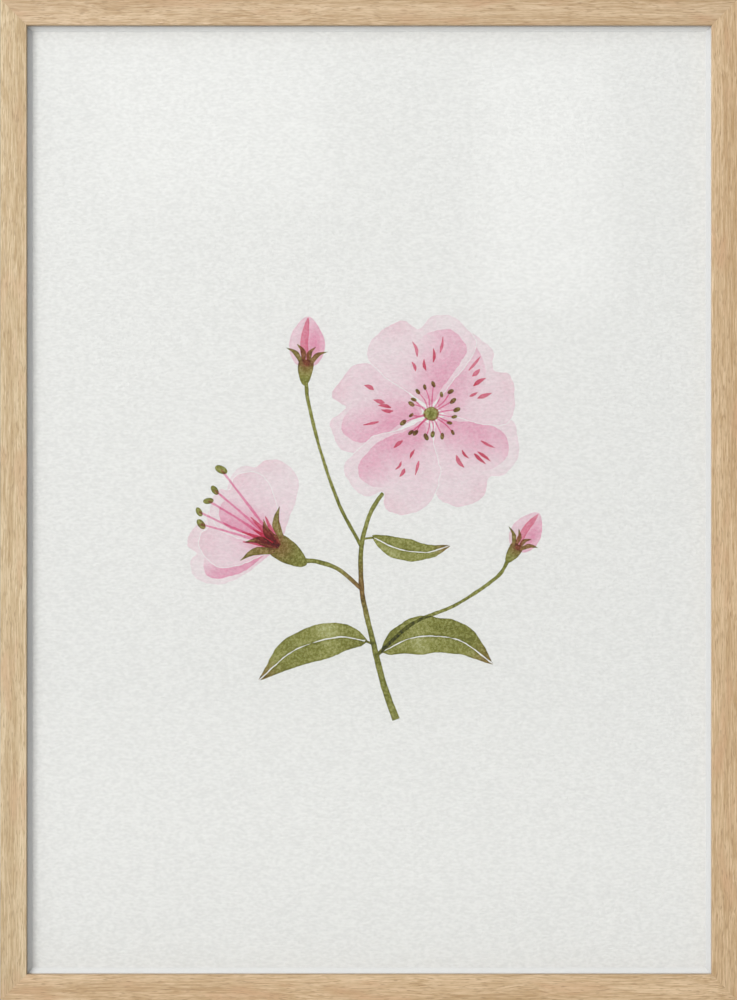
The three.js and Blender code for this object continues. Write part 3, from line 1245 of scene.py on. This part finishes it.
def within(points: np.ndarray, loop: np.ndarray) -> np.ndarray:
    """Tells which points lie inside a closed loop.

    Args:
        points: The points.
        loop: The loop's own points.

    Returns:
        True or False for each point.
    """
    x, y = points.T
    inside = np.zeros(len(points), dtype=bool)
    for (ax, ay), (bx, by) in zip(loop, np.roll(loop, -1, axis=0)):
        if ay == by:
            continue
        crosses = (ay > y) != (by > y)
        inside ^= crosses & (x < (bx - ax) * (y - ay) / (by - ay) + ax)
    return inside


@dataclass(frozen=True)
class Pool:
    """A soft-edged place where a wash holds more pigment, or less where the amount is negative."""

    pigment: Pigment
    amount: float
    place: Point
    along: float
    across: float
    angle: float = 0.0

    def add_to(self, densities: np.ndarray, points: np.ndarray) -> None:
        """Adds the pool's pigment.

        Args:
            densities: The density of each pigment at each point, which it changes.
            points: The points.
        """
        cosine, sine = math.cos(self.angle), math.sin(self.angle)
        x, y = (points - self.place).T
        u = (x * cosine + y * sine) / self.along
        v = (y * cosine - x * sine) / self.across
        densities[:, self.pigment.value] += self.amount * np.exp(-(u * u + v * v))


@dataclass(frozen=True)
class Fade:
    """Where a wash ran into wet paper and thinned out to nothing."""

    start: Point
    end: Point

    def share(self, points: np.ndarray) -> np.ndarray:
        """Returns how much of the wash is left at some points: none at the start, all from the end on."""
        run = np.subtract(self.end, self.start)
        return eased((points - self.start) @ run / (run @ run))


@dataclass
class Wash:
    """One patch of colour laid with a loaded brush."""

    outline: np.ndarray
    pigment: Pigment
    strength: float
    pools: tuple[Pool, ...] = ()
    fade: Optional[Fade] = None
    clear_of: tuple[np.ndarray, ...] = ()
    run_together: bool = False
    rim: float = 0.3
    rim_width: float = 0.6
    pale_share: float = 0.35
    pale_band: Point = (2.4, 1.5)
    cloud: float = 0.2
    cloud_size: float = 17.0

    def covers(self, points: np.ndarray) -> np.ndarray:
        """Tells which points the wash covers: inside its outline, clear of what it was painted round.

        Args:
            points: The points.

        Returns:
            True or False for each point.
        """
        covered = within(points, self.outline)
        for other in self.clear_of:
            covered &= ~within(points, other)
        return covered

    def edge_distance(self, points: np.ndarray) -> np.ndarray:
        """Measures how far points lie from the outline.

        Args:
            points: The points.

        Returns:
            The distance of each.
        """
        start = self.outline
        along = np.roll(start, -1, axis=0) - start
        squares = np.maximum((along * along).sum(axis=1), 1e-9)
        nearest = np.full(len(points), np.inf)
        for first, step, square in zip(start, along, squares):
            offset = points - first
            share = np.clip(offset @ step / square, 0.0, 1.0)
            gap = offset - share[:, None] * step
            nearest = np.minimum(nearest, (gap * gap).sum(axis=1))
        return np.sqrt(nearest)

    def densities(self, points: np.ndarray) -> np.ndarray:
        """Works out how much pigment dried where: more at the rim, less just inside it, and in clouds.

        Args:
            points: Points inside the wash.

        Returns:
            The density of each pigment at each point.
        """
        edge = self.edge_distance(points)
        dark = self.rim * np.exp(-edge / self.rim_width)
        middle, spread = self.pale_band
        pale = self.pale_share * self.rim * np.exp(-(((edge - middle) / spread) ** 2))
        drift = self.strength * 9.0
        clouds = np.array([noise.noise(Vector((x, y, drift)) / self.cloud_size) for x, y in points])
        result = np.zeros((len(points), 3))
        result[:, self.pigment.value] = self.strength * (1.0 + self.cloud * clouds)
        for pool in self.pools:
            pool.add_to(result, points)
        result = np.maximum(result, 0.0) * (1.0 + dark - pale)[:, None]
        if self.fade:
            result *= self.fade.share(points)[:, None]
        return result


def turned_to(centre: Sequence[float], angle: float, shape: Points2D) -> np.ndarray:
    """Turns a shape and moves it to its place.

    Args:
        centre: Where its origin goes.
        angle: The turn in degrees.
        shape: Its points.

    Returns:
        The points in their place.
    """
    turn = math.radians(angle)
    x, y = np.array(shape, dtype=float).T
    cosine, sine = math.cos(turn), math.sin(turn)
    return np.column_stack([x * cosine - y * sine, x * sine + y * cosine]) + np.array(centre)


def oval(along: float, across: float, count: int = 9) -> list[Point]:
    """Returns points round an oval with two half axes."""
    angles = np.linspace(0.0, 2 * math.pi, count, endpoint=False)
    return [(along * math.cos(a), across * math.sin(a)) for a in angles]


@dataclass(frozen=True)
class Petal:
    """A heart-shaped petal, with its narrow end at its base."""

    base: Point
    angle: float
    length: float
    width: float
    strength: float
    notch: float
    lean: float = 0.0
    deep: float = 0.6

    def places(self, shape: Points2D) -> np.ndarray:
        """Lays a shape out on the leaning petal.

        Args:
            shape: Its points, as shares of the petal's length and width.

        Returns:
            The points on the sheet.
        """
        t, w = np.array(shape, dtype=float).T
        across = w * self.width + self.lean * self.length * t * t
        return turned_to(self.base, self.angle, np.column_stack([t * self.length, across]))

    def place(self, t: float, w: float) -> Point:
        """Returns where one such point lies."""
        x, y = self.places([(t, w)])[0]
        return float(x), float(y)


class Painting:
    """A spray of wild roses in transparent washes, laid out in sheet millimetres."""

    seed = 11
    waver = 6.5
    tremble = 2.2
    white_line = 0.55
    petal_half = (
        (0.06, 0.05),
        (0.22, 0.2),
        (0.42, 0.4),
        (0.64, 0.52),
        (0.83, 0.49),
        (0.96, 0.33),
        (1.0, 0.14),
    )
    petal_deep = (
        (0.07, 0.02),
        (0.2, 0.13),
        (0.42, 0.31),
        (0.6, 0.41),
        (0.76, 0.4),
        (0.86, 0.25),
        (0.8, 0.02),
        (0.55, -0.14),
        (0.25, -0.1),
    )
    bud_body = ((0.0, -0.18), (0.3, -0.36), (0.66, -0.3), (1.0, 0.02), (0.68, 0.31), (0.3, 0.36), (0.0, 0.18))
    bud_fold = (
        (0.98, 0.02),
        (0.7, 0.12),
        (0.35, 0.14),
        (0.04, 0.06),
        (0.02, -0.08),
        (0.4, -0.02),
        (0.75, -0.02),
    )
    cup = (
        (0.18, 0.34),
        (-0.3, 0.36),
        (-0.8, 0.2),
        (-1.0, 0.0),
        (-0.8, -0.2),
        (-0.3, -0.36),
        (0.18, -0.34),
        (0.26, 0.0),
    )

    def __init__(self) -> None:
        """Starts with a bare sheet and a steady seed for the hand's small irregularities."""
        self.random = random.Random(self.seed)
        self.washes: list[Wash] = []

    def vary(self, spread: float) -> float:
        """Returns a random number up to the spread either way."""
        return self.random.uniform(-spread, spread)

    def unsteady(self, loop: np.ndarray, shake: float) -> np.ndarray:
        """Lets an edge stray as a hand does.

        Args:
            loop: The edge's points.
            shake: How far it strays.

        Returns:
            The strayed points.
        """
        drift = self.random.uniform(0.0, 90.0)
        slow = [noise.noise(Vector((x / self.waver, y / self.waver, drift))) for x, y in loop]
        quick = [noise.noise(Vector((x / self.tremble, y / self.tremble, drift))) for x, y in loop]
        stray = np.array(slow) + 0.5 * np.array(quick)
        return loop + normals_of(loop, True) * (shake * stray)[:, None]

    def lay(
        self,
        outline: Points2D,
        pigment: Pigment,
        strength: float,
        *pools: Pool,
        step: float = 1.0,
        shake: float = 0.45,
        **looks: Any,
    ) -> np.ndarray:
        """Lays a wash inside a smooth loop with a slightly unsteady edge.

        Args:
            outline: Points that the edge passes through.
            pigment: The wash's main pigment.
            strength: Its density.
            pools: Where more or less pigment gathered.
            step: Spacing of the points along its edge.
            shake: How far the edge strays.
            looks: Other settings of the wash.

        Returns:
            The wash's edge.
        """
        loop = spline(outline, step, closed=True)
        x, y = loop.T
        if float((x * np.roll(y, -1) - np.roll(x, -1) * y).sum()) < 0.0:
            loop = loop[::-1]
        loop = self.unsteady(loop, shake)
        self.washes.append(Wash(loop, pigment, strength, pools, **looks))
        return loop

    def stroke(
        self,
        path: Points2D,
        widths: Sequence[float],
        pigment: Pigment,
        strength: float,
        *pools: Pool,
        step: float = 0.9,
        **looks: Any,
    ) -> None:
        """Draws one brush stroke along a path.

        Args:
            path: Points that the stroke passes through.
            widths: Its widths, evenly spread along it.
            pigment: Its main pigment.
            strength: Its density.
            pools: Where more or less pigment gathered.
            step: Spacing of the points along its edges.
            looks: Other settings of the wash.
        """
        line = spline(path, step)
        shares = np.linspace(0.0, 1.0, len(line))
        half = np.interp(shares, np.linspace(0.0, 1.0, len(widths)), widths)[:, None] / 2
        across = normals_of(line, False) * half
        loop = np.vstack([line + across, (line - across)[::-1]])
        shake = min(0.3, float(max(widths)) * 0.12)
        self.lay(loop, pigment, strength, *pools, step=step, shake=shake, **looks)

    def stem(
        self, path: Points2D, widths: Sequence[float], strength: float, *pools: Pool, **looks: Any
    ) -> None:
        """Draws an olive stroke that runs together with the other greens that it meets."""
        self.stroke(path, widths, Pigment.OLIVE, strength, *pools, run_together=True, **looks)

    def petal(self, petal: Petal, clear_of: tuple[np.ndarray, ...] = ()) -> np.ndarray:
        """Lays a petal: a pale wash, and a deeper one along a side that runs out towards the middle.

        Args:
            petal: The petal.
            clear_of: Edges that it is painted round.

        Returns:
            The edge that later washes keep to, just outside the petal.
        """
        half = self.petal_half
        edge = [(t, -w) for t, w in half] + [(1.0 - petal.notch, 0.0)] + [(t, w) for t, w in reversed(half)]
        edge = [(t * (1.0 + self.vary(0.018)), w * (1.0 + self.vary(0.07))) for t, w in edge]
        turn = math.radians(petal.angle)
        side = self.random.choice((-1.0, 1.0))
        far = petal.place(0.76, 0.22 * side)
        length, width = petal.length, petal.width
        loop = self.lay(
            petal.places(edge),
            Pigment.BLUSH,
            petal.strength,
            Pool(Pigment.BLUSH, 0.3 + self.vary(0.1), petal.base, 0.42 * length, 0.3 * width, turn),
            Pool(Pigment.BLUSH, -0.45 * petal.strength, far, 0.24 * length, 0.2 * width, turn),
            Pool(Pigment.ROSE, 0.05, petal.place(0.95, -0.2 * side), 8.0, 14.0, turn),
            shake=0.9,
            clear_of=clear_of,
        )
        deep = [(t * (1.0 + self.vary(0.03)), side * w * (1.0 + self.vary(0.08))) for t, w in self.petal_deep]
        self.lay(
            petal.places(deep),
            Pigment.BLUSH,
            petal.deep + self.vary(0.1),
            fade=Fade(petal.place(0.62, -0.16 * side), petal.place(0.48, 0.3 * side)),
            shake=0.7,
            rim=0.22,
            cloud=0.3,
            clear_of=clear_of,
        )
        return loop - normals_of(loop, True) * self.white_line

    def dashes(self, centre: Point, angle: float, spread: float, starts: Point, count: int) -> None:
        """Flicks rose strokes outward from a centre.

        Args:
            centre: The centre.
            angle: The middle direction in degrees.
            spread: How far the strokes fan out to each side, in degrees.
            starts: Where the nearest and the farthest stroke start.
            count: The number of strokes.
        """
        for index in range(count):
            turn = angle + spread * (2 * (index + 0.5) / count - 1) + self.vary(4.0)
            start = self.random.uniform(*starts)
            long = self.random.uniform(7.0, 14.0)
            path = [(start, 0.0), (start + long / 2, self.vary(1.0)), (start + long, self.vary(0.8))]
            wide = self.random.uniform(2.0, 3.6)
            widths = (0.6, wide, 0.75 * wide, 0.4)
            strength = self.random.uniform(0.62, 0.95)
            self.stroke(turned_to(centre, turn, path), widths, Pigment.ROSE, strength, step=0.6, cloud=0.5)

    def leaf(self, path: Points2D, width: float, strength: float, joint: Point) -> None:
        """Lays a leaf in two halves that leave the midrib white.

        Args:
            path: The midrib, from the leaf's base to its tip.
            width: The leaf's greatest width.
            strength: The density of its olive.
            joint: Where its short stalk leaves the stem.
        """
        rib = spline(path, 2.0)
        shares = np.linspace(0.0, 1.0, len(rib))
        normals = normals_of(rib, False)
        swell = np.sin(math.pi * shares**0.8) ** 0.9 * width / 2
        third = len(rib) // 3
        tip = tuple(rib[-3])
        for hand, part in ((1, 1.0), (-1, 0.86)):
            ripple = np.array([noise.noise(Vector((s * 5.0, hand * 3.0, width))) for s in shares])
            outer = rib + hand * normals * (swell * part * (1.0 + 0.16 * ripple) + 0.2)[:, None]
            inner = rib + hand * normals * 0.38
            middle = tuple(rib[third] + hand * normals[third] * width * 0.2)
            self.lay(
                np.vstack([inner[::3], outer[::-2]]),
                Pigment.OLIVE,
                strength * part,
                Pool(Pigment.OLIVE, -0.3 * strength, middle, 0.3 * width, 0.3 * width),
                Pool(Pigment.ROSE, 0.25, tip, 0.35 * width, 0.35 * width),
                shake=0.5,
            )
        self.stem([joint, tuple(rib[1])], (1.8, 1.5), strength)

    def stamens(self, centre: Point, angles: Point, count: int, reach: float, size: float) -> None:
        """Draws filaments with olive tips, fanned between two angles.

        Args:
            centre: Where the filaments spring from.
            angles: The first and the last angle in degrees.
            count: How many there are.
            reach: Their mean length.
            size: How thick they are drawn.
        """
        for index in range(count):
            angle = angles[0] + (angles[1] - angles[0]) * (index + 0.5) / count + self.vary(5.0)
            length = reach * self.random.uniform(0.74, 1.12)
            bow = self.vary(1.6)
            path = turned_to(centre, angle, [(4.5, 0.0), (length * 0.6, bow), (length, bow * 0.4)])
            self.stroke(path, (0.8 * size, 0.6 * size, 0.5 * size), Pigment.BLUSH, 1.0, step=0.7)
            wide = size * self.random.uniform(1.2, 1.7)
            tip = turned_to(path[-1], angle + self.vary(45.0), oval(wide, 0.58 * wide))
            self.lay(tip, Pigment.OLIVE, 0.85, step=0.6, shake=0.2)

    def blossom(self, centre: Point, radius: float) -> tuple[np.ndarray, ...]:
        """Lays an open blossom seen from the front, each petal round the ones before it.

        Args:
            centre: Its middle.
            radius: The mean length of its petals.

        Returns:
            The petals' edges.
        """
        edges: list[np.ndarray] = []
        for index in (0, 2, 4, 1, 3):
            angle = 98.0 + 72.0 * index + self.vary(6.0)
            length = radius * (1.0 + self.vary(0.12))
            base = tuple(turned_to(centre, angle, [(4.0, 0.0)])[0])
            width = radius * (0.96 + self.vary(0.12))
            strength = 0.25 + self.vary(0.06)
            notch = 0.11 + self.vary(0.05)
            petal = Petal(base, angle, length - 4.0, width, strength, notch, self.vary(0.1))
            edges.append(self.petal(petal, tuple(edges)))
            self.dashes(centre, angle, 18.0, (0.4 * radius, 0.66 * radius), 5)
        heart = turned_to(centre, 0.0, oval(6.0, 5.4, 10))
        self.lay(heart, Pigment.OLIVE, 0.62, Pool(Pigment.OLIVE, 0.5, centre, 3.0, 3.0), shake=0.8)
        self.stamens(centre, (0.0, 360.0), 19, 0.28 * radius, 1.7)
        return tuple(edges)

    def side_blossom(self, base: Point, angle: float, radius: float) -> None:
        """Lays a half-open blossom seen from the side.

        Args:
            base: Where its petals meet the calyx.
            angle: The direction that it faces, in degrees.
            radius: The length of its petals.
        """
        edges: list[np.ndarray] = []
        petals = ((-15.0, 0.88, 0.28), (19.0, 0.84, 0.3), (38.0, 0.97, 0.2), (-39.0, 0.94, 0.22))
        for turn, part, strength in petals:
            petal = Petal(base, angle + turn, radius * part, 0.7 * radius, strength, 0.07, deep=0.75)
            edges.append(self.petal(petal, tuple(edges)))
        self.stamens(base, (angle - 20.0, angle + 20.0), 5, 1.08 * radius, 2.9)
        for index in range(5):
            turn = angle + 13.0 * (index - 2) + self.vary(2.0)
            long = radius * self.random.uniform(0.34, 0.5)
            path = turned_to(base, turn, [(1.0, 0.0), (0.5 * long, self.vary(0.8)), (long, self.vary(1.4))])
            self.stroke(path, (2.6, 4.4, 2.8, 0.4), Pigment.ROSE, self.random.uniform(0.6, 0.85), cloud=0.6)
        self.calyx(base, angle, 0.34 * radius)

    def bud(self, base: Point, angle: float, length: float) -> None:
        """Lays a closed bud.

        Args:
            base: Where it meets the calyx.
            angle: Its direction in degrees.
            length: Its length.
        """
        middle = tuple(turned_to(base, angle, [(0.45 * length, -0.16 * length)])[0])
        shade = Pool(Pigment.BLUSH, 0.8, middle, 0.4 * length, 0.2 * length, math.radians(angle))
        self.lay(turned_to(base, angle, np.array(self.bud_body) * length), Pigment.BLUSH, 0.42, shade)
        self.lay(turned_to(base, angle, np.array(self.bud_fold) * length), Pigment.ROSE, 0.5, shake=0.3)
        self.calyx(base, angle, 0.42 * length)

    def calyx(self, base: Point, angle: float, size: float) -> None:
        """Lays the olive cup and sepals under a flower.

        Args:
            base: Where the petals meet it.
            angle: The flower's direction in degrees.
            size: The length of its cup.
        """
        outline = turned_to(base, angle, np.array(self.cup) * size)
        blush = Pool(Pigment.ROSE, 0.35, base, 0.4 * size, 0.4 * size)
        self.lay(outline, Pigment.OLIVE, 0.85, blush, shake=0.35, run_together=True)
        for turn, reach in ((-46.0, 1.25), (-14.0, 1.0), (16.0, 1.1), (44.0, 1.3)):
            sweep = math.copysign(0.2, turn)
            path = [(0.1 * size, sweep * 0.6 * size), (0.6 * size * reach, 0.0), (size * reach, sweep * size)]
            self.stem(turned_to(base, angle + turn, path), (0.18 * size, 0.26 * size, 0.3), 0.78, step=0.8)

    def compose(self) -> list[Wash]:
        """Paints the whole spray.

        Returns:
            Its washes, in the order that they were laid.
        """
        rose = Pool(Pigment.ROSE, 0.4, (-6.0, -66.0), 16.0, 16.0)
        petals = self.blossom((46.0, 64.0), 70.0)
        self.leaf([(9, -113), (34, -102), (66, -104), (92, -122)], 30.0, 0.95, (4.4, -116.0))
        self.leaf([(-1, -105), (-24, -102), (-56, -112), (-82, -134)], 28.0, 0.9, (3.0, -107.0))
        self.leaf([(2, -27), (20, -36), (42, -39), (60, -34)], 17.0, 0.85, (-4.4, -29.0))
        main = [(20, -163), (11, -138), (3, -106), (-5, -70), (-6, -38), (-2, -18), (4, -4), (14, 10)]
        self.stem(main, (5.6, 4.6, 4.2, 3.8, 3.6, 3.2, 2.8), 0.9, rose, clear_of=petals)
        self.stem([(-6, -66), (-22, -52), (-38, -46), (-50, -45)], (3.0, 3.0, 3.6), 0.85, rose)
        self.stem([(-6, -34), (-22, -4), (-36, 36), (-45, 72), (-47, 88)], (2.8, 2.4, 2.4, 2.8), 0.8)
        self.stem([(5, -116), (32, -92), (64, -78), (94, -58), (103, -45)], (3.0, 2.6, 2.4, 2.8), 0.84)
        self.side_blossom((-66.0, -35.0), 146.0, 70.0)
        self.bud((-47.0, 100.0), 86.0, 36.0)
        self.bud((109.0, -36.0), 56.0, 31.0)
        return self.washes


@dataclass
class PrintSheet:
    """The paper, with a fine mesh where it is painted and one pigment density for each corner."""

    half_width: float = SIZE.width / 2 - SIZE.sheet_edge
    half_height: float = SIZE.height / 2 - SIZE.sheet_edge
    motif: Point = (150.0, 172.0)
    seed: int = 5
    rings: Extent = (0.35, 0.8, 1.6)
    ring_room: float = 0.85
    inside_ring: float = 0.4
    small_wash: float = 4.0
    spacing: float = 1.5
    row_spacing: float = 0.87
    scatter: float = 0.3
    closest: float = 0.7
    motif_density: float = 2.3
    margin_density: float = 1.14
    map_places: tuple[Point, ...] = ((2, 2), (2, 800), (352, 800), (700, 2), (830, 2))
    map_spare: float = 0.97

    def samples(self, washes: Sequence[Wash]) -> np.ndarray:
        """Spreads the points where the pigment is stored: in rings along the washes' edges and across them.

        Args:
            washes: The washes.

        Returns:
            The points.
        """
        chance = random.Random(self.seed)
        points = []
        for wash in washes:
            inward = normals_of(wash.outline, True)
            for ring in self.rings:
                moved = wash.outline + inward * ring
                points.append(moved[wash.edge_distance(moved) > self.ring_room * ring])
            low, high = wash.outline.min(axis=0), wash.outline.max(axis=0)
            if min(high - low) < self.small_wash:
                continue
            grid = []
            for row, across in enumerate(np.arange(low[1], high[1], self.spacing * self.row_spacing)):
                shift = (row % 2) * self.spacing / 2
                for along in np.arange(low[0], high[0], self.spacing):
                    stray = chance.uniform(-self.scatter, self.scatter)
                    grid.append((along + stray + shift, across + chance.uniform(-self.scatter, self.scatter)))
            inside = np.array(grid)
            inside = inside[wash.covers(inside)]
            points.append(inside[wash.edge_distance(inside) > self.rings[-1] + self.inside_ring])
        every = np.vstack(points)
        cells = np.unique(np.round(every / self.closest).astype(int), axis=0, return_index=True)[1]
        return every[np.sort(cells)]

    def regions(self) -> list[tuple[float, float, float, float]]:
        """Divides the sheet for the unwrap.

        Returns:
            The left, bottom, right and top of the motif, what is above and below it, and the two sides.
        """
        w, h = self.half_width, self.half_height
        mw, mh = self.motif
        return [(-mw, -mh, mw, mh), (-mw, mh, mw, h), (-mw, -h, mw, -mh), (-w, -h, -mw, h), (mw, -h, w, h)]

    def front(self, washes: Sequence[Wash]) -> tuple[np.ndarray, np.ndarray]:
        """Cuts the sheet's front into triangles along the washes' edges.

        Args:
            washes: The washes.

        Returns:
            The points, and the three corners of each face.
        """
        extra = self.samples(washes)
        kept = {id(edge): edge for wash in washes for edge in wash.clear_of}
        loops = [*(wash.outline for wash in washes), *kept.values()]
        loops += [np.array([(a, b), (c, b), (c, d), (a, d)]) for a, b, c, d in self.regions()]
        edges = []
        start = 0
        for loop in loops:
            count = len(loop)
            edges += [(start + i, start + (i + 1) % count) for i in range(count)]
            start += count
        points = [Vector(p) for p in np.vstack([*loops, extra])]
        flat, _, cells, _, _, _ = geometry.delaunay_2d_cdt(points, edges, [], 0, 1e-4)
        return np.array([tuple(p) for p in flat]), np.array(cells)

    def pigment(self, washes: Sequence[Wash], plan: np.ndarray, corners: np.ndarray) -> np.ndarray:
        """Adds up the washes, where greens that run together keep the deepest of them.

        Args:
            washes: The washes.
            plan: The front's points.
            corners: The three corners of each front face.

        Returns:
            The densities at every front corner.
        """
        middles = plan[corners].mean(axis=1)
        pigment = np.zeros((len(corners) * 3, 3))
        greens = np.zeros_like(pigment)
        for wash in washes:
            low, high = wash.outline.min(axis=0), wash.outline.max(axis=0)
            near = np.flatnonzero(((middles > low) & (middles < high)).all(axis=1))
            inside = near[wash.covers(middles[near])]
            used, back = np.unique(corners[inside].ravel(), return_inverse=True)
            rows = (inside[:, None] * 3 + np.arange(3)).ravel()
            laid = wash.densities(plan[used])[back.ravel()]
            if wash.run_together:
                greens[rows] = np.maximum(greens[rows], laid)
            else:
                pigment[rows] += laid
        return pigment + greens

    def build(self, finish: Material) -> None:
        """Adds the painted sheet.

        Args:
            finish: Its material.
        """
        washes = Painting().compose()
        plan, corners = self.front(washes)
        LOG.info("paper: %d washes, %d front faces", len(washes), len(corners))
        pigment = self.pigment(washes, plan, corners)
        mesh = self.thicken(plan, corners)
        stored = mesh.attributes.new("pigment", "FLOAT_VECTOR", "CORNER")
        values = np.zeros((len(mesh.loops), 3))
        values[: len(pigment)] = pigment
        stored.data.foreach_set("vector", values.ravel())
        self.unwrap(mesh, plan, corners)
        mesh.transform(SIZE.centre())
        add_piece("painted_sheet", mesh, finish, "print_sheet")

    def thicken(self, plan: np.ndarray, corners: np.ndarray) -> Mesh:
        """Gives the front its edge and its back.

        Args:
            plan: The front's points.
            corners: The three corners of each front face.

        Returns:
            The sheet, with the front's faces first.
        """
        front, back = SIZE.paper_front, SIZE.paper_front + SIZE.paper_thickness
        count = len(plan)
        walks = {(a, b) for cell in corners.tolist() for a, b in zip(cell, cell[1:] + cell[:1])}
        rim = {a: b for a, b in walks if (b, a) not in walks}
        order = [next(iter(rim))]
        while rim[order[-1]] != order[0]:
            order.append(rim[order[-1]])
        behind = {old: count + new for new, old in enumerate(order)}
        vertices = np.vstack([
            np.column_stack([plan[:, 0], np.full(count, front), plan[:, 1]]),
            np.column_stack([plan[order][:, 0], np.full(len(order), back), plan[order][:, 1]]),
        ])
        faces = corners.tolist()
        faces += [[b, a, behind[a], behind[b]] for a, b in zip(order, order[1:] + order[:1])]
        faces.append([behind[i] for i in reversed(order)])
        return mesh_from("painted_sheet", vertices, faces)

    def unwrap(self, mesh: Mesh, plan: np.ndarray, corners: np.ndarray) -> None:
        """Lays the sheet out for baking, with most of the map for the motif.

        Args:
            mesh: The sheet.
            plan: The front's points.
            corners: The three corners of each front face.
        """
        middles = plan[corners].mean(axis=1)
        region = np.zeros(len(corners), dtype=int)
        for index, (left, bottom, right, top) in enumerate(self.regions()):
            region[((middles > (left, bottom)) & (middles < (right, top))).all(axis=1)] = index
        fine, coarse = self.motif_density / MAP_PIXELS, self.margin_density / MAP_PIXELS
        lows = np.array([(a, b) for a, b, _, _ in self.regions()])
        scales = np.array([fine, coarse, coarse, coarse, coarse])
        of_loop = np.repeat(region, 3)
        on_map = (plan[corners.ravel()] - lows[of_loop]) * scales[of_loop][:, None]
        on_map += np.array(self.map_places)[of_loop] / MAP_PIXELS
        values = np.full((len(mesh.loops), 2), self.map_spare)
        values[: len(on_map)] = on_map
        layer = mesh.uv_layers.new(name="OFBake")
        layer.data.foreach_set("uv", values.ravel())


# The studio.


@dataclass(frozen=True)
class Lamp:
    """A soft rectangular lamp.

    Attributes:
        name: Its name.
        offset: Where it stands from the frame's middle, which it faces.
        size: Its width and height.
        watts: Its power.
        hidden: Whether reflections and the camera pass it over.
    """

    name: str
    offset: Extent
    size: Point
    watts: float
    hidden: bool = False

    def build(self, centre: Vector) -> None:
        """Sets the lamp up.

        Args:
            centre: The frame's middle.
        """
        data = bpy.data.lights.new(self.name, "AREA")
        data.shape = "RECTANGLE"
        data.size, data.size_y = self.size
        data.energy = self.watts
        lamp = bpy.data.objects.new(self.name, data)
        lamp.location = centre + Vector(self.offset)
        lamp.rotation_euler = (-Vector(self.offset)).to_track_quat("-Z", "Y").to_euler()
        lamp.visible_glossy = not self.hidden
        lamp.visible_camera = not self.hidden
        bpy.context.scene.collection.objects.link(lamp)


LAMPS = (
    Lamp("key", (-9.7, -17.5, 2.9), (9.6, 7.6), 2850.0),
    Lamp("near", (-0.62, -1.5, 1.3), (0.7, 1.6), 7.4, hidden=True),
    Lamp("front", (-0.36, -1.2, 0.82), (0.8, 0.6), 1.9, hidden=True),
    Lamp("rear", (2.6, 5.2, 2.6), (2.4, 2.4), 170.0),
    Lamp("left_window", (-0.28, -3.0, 0.675), (0.42, 0.26), 0.135),
    Lamp("right_window", (0.32, -3.0, 0.575), (0.24, 0.456), 0.23),
)


@dataclass
class Studio:
    """The pale floor, the lamps and the camera."""

    lens_mm: float = 100.0
    sensor_mm: float = 36.0
    edge_crop: float = 0.8 * MM
    camera_side: float = -0.5 * MM
    camera_rise: float = -0.15 * MM
    floor_size: float = 6.0
    floor_gap: float = 0.5 * MM
    surroundings: float = 0.28

    def camera(self) -> None:
        """Sets the camera in front, so near that the frame fills the view's height."""
        low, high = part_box("rail_left")
        middle = (low.z + high.z) / 2
        distance = (high.z - low.z - 2 * self.edge_crop) / self.sensor_mm * self.lens_mm
        data = bpy.data.cameras.new("camera")
        data.lens = self.lens_mm
        data.sensor_width = self.sensor_mm
        camera = bpy.data.objects.new("camera", data)
        camera.location = (self.camera_side, low.y - distance, middle + self.camera_rise)
        camera.rotation_euler = (math.pi / 2, 0.0, 0.0)
        bpy.context.scene.collection.objects.link(camera)
        bpy.context.scene.camera = camera

    def floor(self) -> None:
        """Lays the floor just under the frame."""
        low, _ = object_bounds()
        half = self.floor_size / 2
        corners = np.array([(-half, -half, 0), (half, -half, 0), (half, half, 0), (-half, half, 0)])
        corners[:, 2] = low.z - self.floor_gap
        floor = bpy.data.objects.new("floor", mesh_from("floor", corners, [(0, 1, 2, 3)]))
        floor.data.materials.append(FLOOR_PAINT.build())
        bpy.context.scene.collection.objects.link(floor)
        floor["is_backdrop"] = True

    def light(self) -> None:
        """Sets up the lamps and the pale surroundings."""
        low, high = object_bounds()
        for lamp in LAMPS:
            lamp.build((low + high) / 2)
        world = bpy.data.worlds.new("surroundings")
        world.use_nodes = True
        background = world.node_tree.nodes["Background"]
        background.inputs["Color"].default_value = (1.0, 1.0, 1.0, 1.0)
        background.inputs["Strength"].default_value = self.surroundings
        bpy.context.scene.world = world

    def build(self) -> None:
        """Builds the whole studio."""
        self.camera()
        self.floor()
        self.light()
        bpy.context.scene.view_settings.view_transform = "Standard"
        LOG.info("studio ready")


def main() -> None:
    """Builds the object's looks and the studio."""
    logging.basicConfig(level=logging.INFO, format="%(message)s")
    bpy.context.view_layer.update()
    OakFrame().build(OakFinish().build())
    # The left and right slips get the greyer copy of the white paint, a painted shade.
    level, upright = SLIP_PAINT.build(), UPRIGHT_SLIP_PAINTED_SHADE.build()
    for side, slip in ((Side.BOTTOM, level), (Side.RIGHT, upright), (Side.TOP, level), (Side.LEFT, upright)):
        dress_node(f"slip_{side.name.lower()}", slip, 0.15 * MM)
    dress_node("glazing", GlassFinish().build(), 0.2 * MM)
    PrintSheet().build(PaperFinish().build())
    dress_node("backing_board", HARDBOARD.build(), 0.2 * MM)
    steel = BLUED_STEEL.build()
    for corner in ("bottom_left", "bottom_right", "top_right", "top_left"):
        dress_node(f"v_nail_{corner}_outer", steel, 0.06 * MM)
        dress_node(f"v_nail_{corner}_inner", steel, 0.06 * MM)
    GlaziersPoints().build(steel)
    SawtoothHanger().build(ZINC_PLATE.build())
    Bumpers().build(BUMPER_RUBBER.build())
    Studio().build()
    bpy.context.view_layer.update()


if __name__ == "__main__":
    main()
